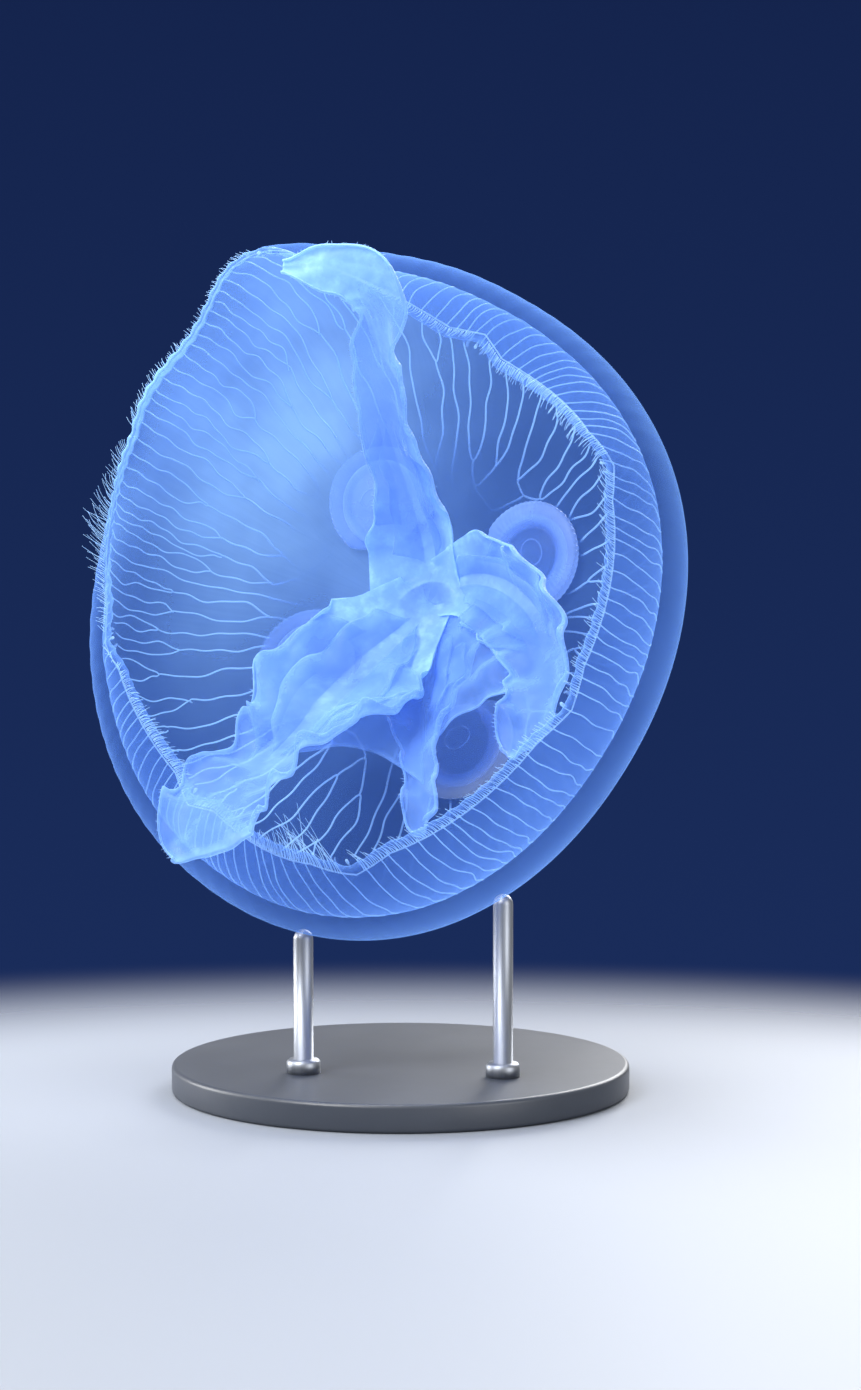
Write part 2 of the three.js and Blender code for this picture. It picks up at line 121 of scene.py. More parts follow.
def along_the_way(values: Sequence[float], t: Array) -> Array:
    """Takes a value given at equal steps from 0 to 1 smoothly at t.

    Args:
        values: The value at each step.
        t: Places between 0 and 1.

    Returns:
        The value at each place.
    """
    listed = np.asarray(values, dtype=float)
    last = len(listed) - 1
    place = np.clip(t, 0, 1) * last
    i = np.minimum(np.floor(place).astype(int), last - 1)
    near = [listed[np.clip(i + k, 0, last)] for k in (-1, 0, 1, 2)]
    return cubic(*near, place - i)


# ---- The bell's wall ----


@dataclass(frozen=True)
class BellPose:
    """Where the bell hangs and how it is turned."""

    centre: tuple[float, float, float] = (-24, -22, 190)
    gaze_drop: float = 4
    crown_tilt: float = 28
    crown_turn: float = 29
    crown_height: float = 95
    eye: tuple[float, float, float] = (10.69, -1166.56, 223.21)

    @cached_property
    def gaze(self) -> tuple[Array, Array]:
        """The way that the eye looks, and what is upwards to it.

        Returns:
            Two vectors of length 1.
        """
        drop = math.radians(self.gaze_drop)
        along, upwards = (0.0, math.cos(drop), -math.sin(drop)), (0.0, math.sin(drop), math.cos(drop))
        return np.array(along), np.array(upwards)

    @cached_property
    def axes(self) -> tuple[Array, Array, Array]:
        """The bell's side, rise and crownwards directions.

        Returns:
            Three vectors of length 1.
        """
        tilt, turn = math.radians(self.crown_tilt), math.radians(self.crown_turn)
        right = np.array([1.0, 0.0, 0.0])
        away, upwards = self.gaze
        crownwards = (
            math.sin(tilt) * math.cos(turn) * right
            - math.sin(tilt) * math.sin(turn) * upwards
            + math.cos(tilt) * away
        )
        side = unit(right - right.dot(crownwards) * crownwards)
        rise = np.cross(-crownwards, side)
        return side, rise, crownwards

    @property
    def mouthwards(self) -> Array:
        """The direction from the crown to the open side."""
        return -self.axes[2]

    def seen(self, points: Array) -> Array:
        """How far points stand to the right and upwards for the eye that the pose is turned to.

        Args:
            points: One point in each row.

        Returns:
            Two shares of the distance from the eye in each row.
        """
        along, upwards = self.gaze
        away = points - np.array(self.eye)
        return np.stack([away[..., 0], away @ upwards], axis=-1) / (away @ along)[..., None]

    def point(self, azimuth: Array, radius: Array, drop: Array) -> Array:
        """Finds points from their places round the bell's axis.

        Args:
            azimuth: Angle round the axis, in degrees.
            radius: Distance from the axis.
            drop: Distance in front of the crown.

        Returns:
            One point in each row.
        """
        side, rise, crownwards = self.axes
        a = np.radians(np.asarray(azimuth, dtype=float))[..., None]
        r = np.asarray(radius, dtype=float)[..., None]
        d = np.asarray(drop, dtype=float)[..., None]
        across = r * np.cos(a) * side + r * np.sin(a) * rise
        return np.array(self.centre) + across + (self.crown_height - d) * crownwards


@dataclass(frozen=True)
class BellWall:
    """The bell's curved wall, with the length and curl of each of its eight lobes."""

    pose: BellPose = BellPose()
    lobes: int = 8
    first_organ: float = 10
    lobe_length: tuple[float, ...] = (194, 186, 207, 168, 178, 201, 230, 199)
    lobe_curl: tuple[float, ...] = (122, 186, 125, 115, 165, 192, 130, 112)
    shoulder: float = 0.78
    crown_flatness: float = 2
    lengths_differ_from: float = 0.5
    flare_azimuth: float = 112
    flare_width: float = 25
    flare_pinch: float = 0.05
    crown_thickness: float = 13
    rim_thickness: float = 2
    thinning: float = 3
    notch_depth: float = 5
    notch_width: float = 7.5
    profile_steps: int = 120
    table_step: float = 0.5
    search_steps: int = 60

    @property
    def mean_length(self) -> float:
        """The wall's mean length from the crown's centre to the margin."""
        return sum(self.lobe_length) / len(self.lobe_length)

    def organ_azimuth(self, number: int) -> float:
        """The azimuth of a sense organ, where a lobe begins."""
        return self.first_organ + number * 360 / self.lobes

    def around(self, values: Sequence[float], azimuth: Array) -> Array:
        """Takes a value given at the eight sense organs smoothly at any azimuth.

        Args:
            values: The value at each sense organ.
            azimuth: Angles in degrees.

        Returns:
            The value at each azimuth.
        """
        listed = np.asarray(values, dtype=float)
        place = ((np.asarray(azimuth, dtype=float) - self.first_organ) / 360 * self.lobes) % self.lobes
        i = np.floor(place).astype(int)
        near = [listed[(i + k) % self.lobes] for k in (-1, 0, 1, 2)]
        return cubic(*near, place - i)

    def turn(self, azimuth: Array, reach: Array) -> Array:
        """How far the wall's line has turned from the crown's plane, in degrees.

        Args:
            azimuth: Angle of each place.
            reach: Reach of each place.

        Returns:
            The turn at each place.
        """
        at_margin = self.around(self.lobe_curl, azimuth)
        to_shoulder = 90 * np.clip(np.asarray(reach) / self.shoulder, 0, 1) ** self.crown_flatness
        return to_shoulder + (at_margin - 90) * np.clip((reach - self.shoulder) / (1 - self.shoulder), 0, 1)

    def length(self, azimuth: Array) -> Array:
        """The wall's length from the crown's centre to the margin.

        Args:
            azimuth: Angles in degrees.

        Returns:
            The length along each.
        """
        pinch = self.flare_pinch * bump(azimuth, self.flare_azimuth, self.flare_width)
        waves = np.cos(np.radians(np.asarray(azimuth) - self.first_organ) * self.lobes)
        return self.around(self.lobe_length, azimuth) * (1 + pinch * waves)

    @cached_property
    def lines(self) -> tuple[Array, Array]:
        """The outer surface's radius and drop, by azimuth and reach, at equal steps.

        Returns:
            Two tables, with a row for each azimuth.
        """
        azimuth = np.arange(0, 360 + self.table_step / 2, self.table_step)[:, None]
        steps = np.arange(self.profile_steps)[None, :]
        own = smooth((steps + 1) / self.profile_steps / self.lengths_differ_from)
        step = between(self.mean_length, self.length(azimuth), own) / self.profile_steps
        turn = np.radians(self.turn(azimuth, (steps + 0.5) / self.profile_steps))
        start = np.zeros((len(azimuth), 1))
        radius = np.hstack([start, np.cumsum(step * np.cos(turn), axis=1)])
        drop = np.hstack([start, np.cumsum(step * np.sin(turn), axis=1)])
        return radius, drop

    def section(self, azimuth: Array, reach: Array, depth: Array) -> tuple[Array, Array]:
        """Finds a place of the wall in the plane through the bell's axis.

        Args:
            azimuth: Angle round the axis, in degrees.
            reach: 0 at the crown's centre, 1 at the margin, a little more past it.
            depth: Depth under the outer surface.

        Returns:
            The distances from the axis and in front of the crown.
        """
        azimuth, reach, depth = np.broadcast_arrays(azimuth, reach, depth)
        column = (azimuth % 360) / self.table_step
        a = np.floor(column).astype(int)
        row = reach * self.profile_steps
        b = np.clip(np.floor(row).astype(int), 0, self.profile_steps - 1)
        fa, fb = column - a, row - b
        turn = np.radians(self.turn(azimuth, reach))
        found = []
        for table in self.lines:
            low = table[a, b] * (1 - fb) + table[a, b + 1] * fb
            high = table[a + 1, b] * (1 - fb) + table[a + 1, b + 1] * fb
            found.append(low * (1 - fa) + high * fa)
        return found[0] - depth * np.sin(turn), found[1] + depth * np.cos(turn)

    def point(self, azimuth: Array, reach: Array, depth: Array) -> Array:
        """Finds points of the wall by azimuth, reach and depth."""
        azimuth = np.broadcast_arrays(azimuth, reach, depth)[0]
        return self.pose.point(azimuth, *self.section(azimuth, reach, depth))

    def thickness(self, reach: Array) -> Array:
        """How thick the wall is."""
        return between(self.rim_thickness, self.crown_thickness, 1 - np.clip(reach, 0, 1) ** self.thinning)

    def margin_reach(self, azimuth: Array) -> Array:
        """The reach at which the wall ends: 1, but less in the niche of a sense organ.

        Args:
            azimuth: Angles in degrees.

        Returns:
            The reach at each.
        """
        lobe = 360 / self.lobes
        from_organ = np.abs((azimuth - self.first_organ + lobe / 2) % lobe - lobe / 2)
        return 1 - self.notch_depth / self.mean_length * np.maximum(0, 1 - from_organ / self.notch_width)

    def under(self, azimuth: Array, radius: Array, clear: Array) -> Array:
        """Finds points at a distance from the axis and this far clear of the wall's inner surface.

        Args:
            azimuth: Angle of each point.
            radius: Distance of each point from the axis.
            clear: How far each keeps off the inner surface.

        Returns:
            One point in each row.
        """
        azimuth, radius, clear = (np.ravel(x) for x in np.broadcast_arrays(azimuth, radius, clear))
        reach = np.linspace(0, self.shoulder, self.search_steps)[None, :]
        lines = self.section(azimuth[:, None], reach, self.thickness(reach) + clear[:, None])[0]
        own = np.array([np.interp(r, line, reach[0]) for r, line in zip(radius, lines)])
        return self.point(azimuth, own, self.thickness(own) + clear)


# ---- Meshes ----


def coordinates(mesh: bpy.types.Mesh) -> Array:
    """Reads a mesh's vertex places, one in each row.

    Args:
        mesh: The mesh.

    Returns:
        The places, as they are stored.
    """
    flat = np.empty(len(mesh.vertices) * 3)
    mesh.vertices.foreach_get("co", flat)
    return flat.reshape(-1, 3)


def polar(points: Array) -> tuple[Array, Array]:
    """The azimuth of points, in degrees, and their distance from the axis."""
    return np.degrees(np.arctan2(points[:, 1], points[:, 0])), np.hypot(points[:, 0], points[:, 1])


def finished(bm: bmesh.types.BMesh, name: str) -> bpy.types.Mesh:
    """Ends an edited mesh, and gives it as a mesh of this name.

    Args:
        bm: The edited mesh, freed here.
        name: The new mesh's name.

    Returns:
        The new mesh.
    """
    mesh = bpy.data.meshes.new(name)
    bm.to_mesh(mesh)
    bm.free()
    return mesh


def placed(name: str, data: bpy.types.ID) -> bpy.types.Object:
    """Puts a mesh, a light or a camera in the scene.

    Args:
        name: The new object's name.
        data: What it holds.

    Returns:
        The new object.
    """
    item = bpy.data.objects.new(name, data)
    bpy.context.scene.collection.objects.link(item)
    return item


def settle(mesh: bpy.types.Mesh, points: Array) -> None:
    """Puts a mesh's vertices at points in millimetres, closes its seams and turns its faces outwards.

    Args:
        mesh: The mesh, changed in place.
        points: The new place of each vertex.
    """
    mesh.vertices.foreach_set("co", (points * MM).ravel())
    bm = bmesh.new()
    bm.from_mesh(mesh)
    bmesh.ops.remove_doubles(bm, verts=bm.verts, dist=MERGE)
    bmesh.ops.recalc_face_normals(bm, faces=bm.faces)
    for face in bm.faces:
        face.smooth = True
    bm.to_mesh(mesh)
    bm.free()
    mesh.update()


def mark(mesh: bpy.types.Mesh, name: str, values: Array) -> None:
    """Stores a number, or a direction, for each vertex of a mesh.

    Args:
        mesh: The mesh that gets the attribute.
        name: The attribute's name.
        values: One number or one row of three numbers for each vertex.
    """
    values = np.asarray(values, dtype=float)
    if values.ndim == 1:
        mesh.attributes.new(name, "FLOAT", "POINT").data.foreach_set("value", values)
    else:
        mesh.attributes.new(name, "FLOAT_VECTOR", "POINT").data.foreach_set("vector", values.ravel())


def bent_lathe(name: str, profile: Sequence[tuple[float, float]], around: int) -> bpy.types.Mesh:
    """Spins a profile of radius and height round Z, for its vertices to be placed afterwards.

    Args:
        name: The mesh's name.
        profile: Points of radius and height, from the axis to the axis.
        around: Steps round the axis.

    Returns:
        The closed mesh, still round its own axis.
    """
    bm = bmesh.new()
    verts = [bm.verts.new((radius, 0, height)) for radius, height in profile]
    edges = [bm.edges.new(pair) for pair in zip(verts, verts[1:])]
    bmesh.ops.spin(
        bm,
        geom=verts + edges,
        cent=(0, 0, 0),
        axis=(0, 0, 1),
        angle=2 * math.pi,
        steps=around,
        use_merge=True,
    )
    bmesh.ops.remove_doubles(bm, verts=bm.verts, dist=MERGE)
    return finished(bm, name)


def bent_slab(name: str, across: int, along: int) -> tuple[bpy.types.Mesh, Array, Array, Array]:
    """Makes a closed slab of two layers, for its vertices to be placed afterwards.

    Args:
        name: The mesh's name.
        across: Steps across the slab.
        along: Steps along it.

    Returns:
        The mesh and, for each vertex, how far it is across, along and through the slab, from 0 to 1.
    """
    bm = bmesh.new()
    bmesh.ops.create_grid(bm, x_segments=across, y_segments=along, size=0.5)
    bmesh.ops.solidify(bm, geom=bm.faces[:], thickness=1)
    mesh = finished(bm, name)
    co = coordinates(mesh)
    co -= co.min(axis=0)
    return mesh, co[:, 0], co[:, 1], co[:, 2] / co[:, 2].max()


@dataclass
class Strand:
    """A fine thread of flesh.

    Attributes:
        route: The points that it follows, one in each row.
        radius: How thick it is at each of them.
        milk: How milky it is at each of them.
        root: Where its root lies on the wall, as shares of the way round and along it.
    """

    route: Array
    radius: Array
    milk: Array
    root: tuple[float, float]

    def capped(self) -> "Strand":
        """The same thread with both its ends rounded off.

        Returns:
            A thread with one more point at each end.
        """
        ends = unit(np.array([self.route[0] - self.route[1], self.route[-1] - self.route[-2]]))
        first = self.route[0] + ends[0] * self.radius[0]
        last = self.route[-1] + ends[1] * self.radius[-1]
        return Strand(
            np.vstack([first, self.route, last]),
            np.concatenate([[0], self.radius, [0]]),
            np.concatenate([self.milk[:1], self.milk, self.milk[-1:]]),
            self.root,
        )

    def rings(self, sides: int) -> Array:
        """Lays a ring of points round each point of the route.

        Args:
            sides: How many sides the thread has.

        Returns:
            The rings' points, with the first of each ring repeated at its end.
        """
        along = unit(np.gradient(self.route, axis=0))
        across = np.empty_like(along)
        last = np.cross(along[0], np.eye(3)[np.argmin(np.abs(along[0]))])
        for i, direction in enumerate(along):
            last = last - last.dot(direction) * direction
            last /= max(math.sqrt(last.dot(last)), TINY)
            across[i] = last
        third = np.cross(along, across)
        angle = np.linspace(0, 2 * math.pi, sides + 1)[None, :, None]
        ring = np.cos(angle) * across[:, None] + np.sin(angle) * third[:, None]
        return self.route[:, None] + self.radius[:, None, None] * ring

    def patch(self) -> Array:
        """The thread's narrow line on the bake map, with one place for each point of the route."""
        up = self.root[1] + BAKE_PATCH * np.linspace(0, 1, len(self.route))
        return np.column_stack([np.full(len(up), self.root[0]), up])


def bundle(name: str, strands: Iterable[Strand], sides: int) -> bpy.types.Mesh:
    """Joins many threads into one mesh.

    Args:
        name: The mesh's name.
        strands: The threads.
        sides: How many sides each has.

    Returns:
        The mesh, with how milky each vertex is, and a map with a small patch for each thread's root.
    """
    threads = [strand.capped() for strand in strands]
    ends = np.cumsum([len(thread.route) for thread in threads])
    rows = int(ends[-1])
    gaps = {int(end) - 1 for end in ends[:-1]}
    bm = bmesh.new()
    bmesh.ops.create_grid(bm, x_segments=sides, y_segments=rows - 1, size=1)
    between = [f for f in bm.faces if math.floor((f.calc_center_median().y + 1) / 2 * (rows - 1)) in gaps]
    bmesh.ops.delete(bm, geom=between, context="FACES")
    mesh = finished(bm, name)
    co = coordinates(mesh)
    column = np.rint((co[:, 0] + 1) / 2 * sides).astype(int)
    row = np.rint((co[:, 1] + 1) / 2 * (rows - 1)).astype(int)
    points = np.concatenate([thread.rings(sides) for thread in threads])
    mark(mesh, "milk", np.concatenate([thread.milk for thread in threads])[row])
    corner = np.empty(len(mesh.loops), dtype=np.int32)
    mesh.loops.foreach_get("vertex_index", corner)
    unwrapped = np.concatenate([thread.patch() for thread in threads])[row[corner]]
    unwrapped[:, 0] += BAKE_PATCH * column[corner] / sides
    mesh.uv_layers.new(name=BAKE_MAP).data.foreach_set("uv", unwrapped.ravel())
    settle(mesh, points[row, column])
    return mesh


def show(mesh: bpy.types.Mesh, slot: Slot, material: bpy.types.Material, *nodes: str) -> bpy.types.Object:
    """Puts a mesh in the scene as a piece of the model.

    Args:
        mesh: The finished mesh. Its name becomes the piece's.
        slot: The record's slot that it stands for; not used.
        material: Its finish.
        nodes: The CAD nodes that it stands for.

    Returns:
        The new piece.
    """
    piece = placed(mesh.name, mesh)
    mesh.materials.clear()
    mesh.materials.append(material)
    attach(piece, BODY)
    if nodes:
        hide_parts(*nodes)
    LOG.info("%s: %d faces", piece.name, len(mesh.polygons))
    return piece


# ---- Finishes ----


class ShaderTree:
    """The nodes of a material or of the world, with short calls that add and join them."""

    def __init__(self, owner: bpy.types.Material | bpy.types.World) -> None:
        """Starts an empty tree.

        Args:
            owner: The material or the world.
        """
        owner.use_nodes = True
        self.owner, self.tree = owner, owner.node_tree
        self.tree.nodes.clear()

    @classmethod
    def named(cls, name: str) -> "ShaderTree":
        """Starts the tree of a new material."""
        return cls(bpy.data.materials.new(name))

    def node(self, kind: str, inputs: dict[str | int, Any] | None = None, **settings: Any) -> bpy.types.Node:
        """Adds a node.

        Args:
            kind: Its type, without the ShaderNode in front.
            inputs: A value, or another node's output, for each named input.
            settings: The node's own settings.

        Returns:
            The new node.
        """
        made = self.tree.nodes.new("ShaderNode" + kind)
        for key, value in settings.items():
            setattr(made, key, value)
        for socket, value in (inputs or {}).items():
            if isinstance(value, bpy.types.NodeSocket):
                self.tree.links.new(value, made.inputs[socket])
            else:
                made.inputs[socket].default_value = value
        return made

    def math(self, operation: str, a: Any, b: Any = 0.0, clamp: bool = False) -> bpy.types.NodeSocket:
        """Joins two values by one operation, and gives the result."""
        return self.node("Math", {0: a, 1: b}, operation=operation, use_clamp=clamp).outputs[0]

    def line(self, value: Any, slope: float, start: float) -> bpy.types.NodeSocket:
        """Multiplies a value, adds the start to it, and gives the result."""
        return self.node("Math", {0: value, 1: slope, 2: start}, operation="MULTIPLY_ADD").outputs[0]

    def attribute(self, name: str, output: str = "Fac") -> bpy.types.NodeSocket:
        """Gives what is stored in the mesh under this name."""
        return self.node("Attribute", attribute_name=name).outputs[output]

    def uneven(self, height: Any, strength: float, distance: float) -> bpy.types.NodeSocket:
        """Gives the normal of a surface with this unevenness."""
        return self.node("Bump", {"Height": height, "Strength": strength, "Distance": distance}).outputs[0]

    def blend(self, share: Any, first: bpy.types.Node, second: bpy.types.Node) -> bpy.types.Node:
        """Mixes two shaders."""
        return self.node("MixShader", {0: share, 1: first.outputs[0], 2: second.outputs[0]})

    def mix(self, share: Any, a: Colour | bpy.types.NodeSocket, b: Colour | bpy.types.NodeSocket) -> Any:
        """Mixes two colours, and gives the colour between them."""
        colours = [c if isinstance(c, bpy.types.NodeSocket) else (*c, 1) for c in (a, b)]
        return self.node("Mix", {0: share, 6: colours[0], 7: colours[1]}, data_type="RGBA").outputs[2]

    def noise(self, scale: float, detail: float = 2, where: Any = None) -> bpy.types.NodeSocket:
        """Gives the strength of cloudy noise, on the piece's own coordinates if no others are given."""
        place = where or self.node("TexCoord").outputs["Object"]
        return self.node("TexNoise", {"Vector": place, "Scale": scale, "Detail": detail}).outputs[0]

    def finish(self, surface: bpy.types.Node) -> bpy.types.Material:
        """Ends the tree in its surface, and gives the material."""
        self.node("OutputMaterial", {"Surface": surface.outputs[0]})
        return self.owner


@dataclass(frozen=True)
class Jelly:
    """Wet translucent flesh. Light scatters in it from both sides, and some of it is seen through.

    Attributes:
        name: The material's name.
        deep: Its colour where it is clear.
        pale: Its colour where it is milky.
        clear: How much a clear surface, seen square on, hides what is behind it.
        milky: The same where it is milky.
        grazing: How much more it hides where it is seen edge on.
        sharpness: How close to the edge that is.
        edge_tone: How much milkier its colour is there.
        translucent: Share of the light that comes through it.
        clouds: How uneven the milkiness is.
        cloud_scale: Clouds per metre.
        cloud_detail: How fine their smaller ones are.
        froth: How much milkier its fine froth is.
        froth_scale: Flecks of froth per metre.
        froth_detail: How fine the smaller flecks are.
        froth_from: The strength of the noise at which froth starts.
        streaks: How much fine streaks along the wall show.
        gloss: Roughness of its wet surface.
        wetness: Strength of its highlights.
        painted_glow: Strength of a painted glow, light that it gives off by itself and that lifts its shade
            all round.
        bumps: Strength of its fine unevenness.
        bump_scale: Bumps per metre.
        bump_height: Their height, in metres.
        warmth: The warm tint that it takes where it is marked for it, or None.
    """

    name: str
    deep: Colour
    pale: Colour
    clear: float
    milky: float
    grazing: float
    sharpness: float = 2.5
    edge_tone: float = 0.5
    translucent: float = 0.45
    clouds: float = 0.5
    cloud_scale: float = 28
    cloud_detail: float = 3
    froth: float = 0.0
    froth_scale: float = 190
    froth_detail: float = 6
    froth_from: float = 0.48
    streaks: float = 0.0
    gloss: float = 0.32
    wetness: float = 0.25
    painted_glow: float = 0.0
    bumps: float = 0.2
    bump_scale: float = 420
    bump_height: float = 0.0006
    warmth: Colour | None = None

    def build(self) -> bpy.types.Material:
        """Makes the material.

        Returns:
            The new material.
        """
        tree = ShaderTree.named(self.name)
        cloud = tree.line(tree.noise(self.cloud_scale, self.cloud_detail), 2 * self.clouds, 1 - self.clouds)
        milk = tree.math("MULTIPLY", tree.attribute("milk"), cloud)
        if self.froth:
            noise = tree.noise(self.froth_scale, self.froth_detail)
            fleck = tree.math("SUBTRACT", noise, self.froth_from, clamp=True)
            milk = tree.math("MULTIPLY", milk, tree.line(fleck, self.froth, 1.0))
        if self.streaks:
            streak = tree.math("SUBTRACT", tree.noise(1, 2, tree.attribute("grain", "Vector")), 0.5)
            milk = tree.math("ADD", milk, tree.math("MULTIPLY", streak, self.streaks))
        milk = tree.math("MAXIMUM", milk, 0.0)
        facing = tree.node("LayerWeight", {"Blend": 0.5}).outputs["Facing"]
        edge = tree.math("POWER", facing, self.sharpness)
        body = tree.line(milk, self.milky - self.clear, self.clear)
        alpha = tree.math("ADD", body, tree.math("MULTIPLY", edge, self.grazing), clamp=True)
        tone = tree.math("ADD", milk, tree.math("MULTIPLY", edge, self.edge_tone), clamp=True)
        colour = tree.mix(tone, self.deep, self.pale)
        if self.warmth:
            colour = tree.mix(tree.attribute("warm"), colour, self.warmth)
        wet = {"Base Color": colour, "Roughness": self.gloss, "Specular IOR Level": self.wetness}
        soft = {"Color": colour}
        if self.bumps:
            normal = tree.uneven(tree.noise(self.bump_scale, 2), self.bumps, self.bump_height)
            wet["Normal"] = soft["Normal"] = normal
        # Painted glow: emission in the flesh's own colour.
        if self.painted_glow:
            wet["Emission Color"], wet["Emission Strength"] = colour, self.painted_glow
        lit, through = tree.node("BsdfPrincipled", wet), tree.node("BsdfTranslucent", soft)
        return tree.finish(
            tree.blend(alpha, tree.node("BsdfTransparent"), tree.blend(self.translucent, lit, through))
        )


@dataclass(frozen=True)
class SatinPaint:
    """Satin dark paint on turned metal, a little worn in clouds."""

    name: str = "satin_paint"
    colour: Colour = (0.020, 0.026, 0.040)
    worn: Colour = (0.045, 0.052, 0.068)
    roughness: tuple[float, float] = (0.34, 0.5)
    cloud_scale: float = 22
    grain_scale: float = 900
    grain: float = 0.12
    grain_height: float = 0.0002

    def build(self) -> bpy.types.Material:
        """Makes the material.

        Returns:
            The new material.
        """
        tree = ShaderTree.named(self.name)
        cloud = tree.noise(self.cloud_scale, 4)
        rough = tree.node("MapRange", {0: cloud, 3: self.roughness[0], 4: self.roughness[1]}).outputs[0]
        normal = tree.uneven(tree.noise(self.grain_scale, 2), self.grain, self.grain_height)
        paint = {"Base Color": tree.mix(cloud, self.colour, self.worn), "Roughness": rough, "Normal": normal}
        return tree.finish(tree.node("BsdfPrincipled", paint))


@dataclass(frozen=True)
class BrushedSteel:
    """Steel rod, brushed along its length."""

    name: str = "brushed_steel"
    colour: Colour = (0.36, 0.38, 0.42)
    dark: Colour = (0.24, 0.26, 0.30)
    roughness: tuple[float, float] = (0.36, 0.55)
    brushing: tuple[float, float, float] = (2600, 2600, 30)
    grain: float = 0.15
    grain_height: float = 0.0001

    def build(self) -> bpy.types.Material:
        """Makes the material.

        Returns:
            The new material.
        """
        tree = ShaderTree.named(self.name)
        place = tree.node("TexCoord").outputs["Object"]
        stretched = tree.node("Mapping", {"Vector": place, "Scale": self.brushing}).outputs[0]
        brushed = tree.noise(1, 3, stretched)
        rough = tree.node("MapRange", {0: brushed, 3: self.roughness[0], 4: self.roughness[1]}).outputs[0]
        normal = tree.uneven(brushed, self.grain, self.grain_height)
        colour = tree.mix(brushed, self.dark, self.colour)
        steel = {"Base Color": colour, "Metallic": 1.0, "Roughness": rough, "Normal": normal}
        return tree.finish(tree.node("BsdfPrincipled", steel))


CLEAR_FLESH = Jelly(
    name="bell_flesh_clear",
    deep=(0.060, 0.175, 0.66),
    pale=(0.30, 0.56, 0.98),
    clear=0.10,
    milky=0.70,
    grazing=0.32,
    sharpness=2.6,
    clouds=0.35,
    streaks=0.07,
    gloss=0.5,
    wetness=0.0,
    bumps=0.0,
)
CANAL_FLESH = Jelly(
    name="canal_flesh",
    deep=(0.14, 0.34, 0.95),
    pale=(0.44, 0.72, 1.0),
    clear=0.0,
    milky=0.62,
    grazing=0.0,
    clouds=0.3,
    wetness=0.05,
    bumps=0.1,
)
MARGIN_FLESH = Jelly(
    name="tentacle_flesh",
    deep=(0.18, 0.42, 1.0),
    pale=(0.52, 0.78, 1.0),
    clear=0.05,
    milky=0.62,
    grazing=0.10,
    clouds=0.3,
    wetness=0.1,
    bumps=0.1,
)
GONAD_FLESH = Jelly(
    name="gonad_flesh_frilled",
    deep=(0.14, 0.30, 0.88),
    pale=(0.40, 0.64, 0.98),
    clear=0.03,
    milky=0.80,
    grazing=0.22,
    cloud_scale=110,
    clouds=0.3,
    wetness=0.12,
    warmth=(0.76, 0.80, 0.68),
)
ARM_FLESH = Jelly(
    name="arm_flesh_satin",
    deep=(0.12, 0.28, 0.80),
    pale=(0.34, 0.60, 0.98),
    clear=0.10,
    milky=0.88,
    grazing=0.24,
    sharpness=2.0,
    cloud_scale=60,
    clouds=0.75,
    cloud_detail=6,
    froth=1.9,
    wetness=0.10,
    # Painted glow: the arms give off a little light of their own to lift their shade.
    painted_glow=0.14,
)


# ---- Sub-assemblies of the animal ----


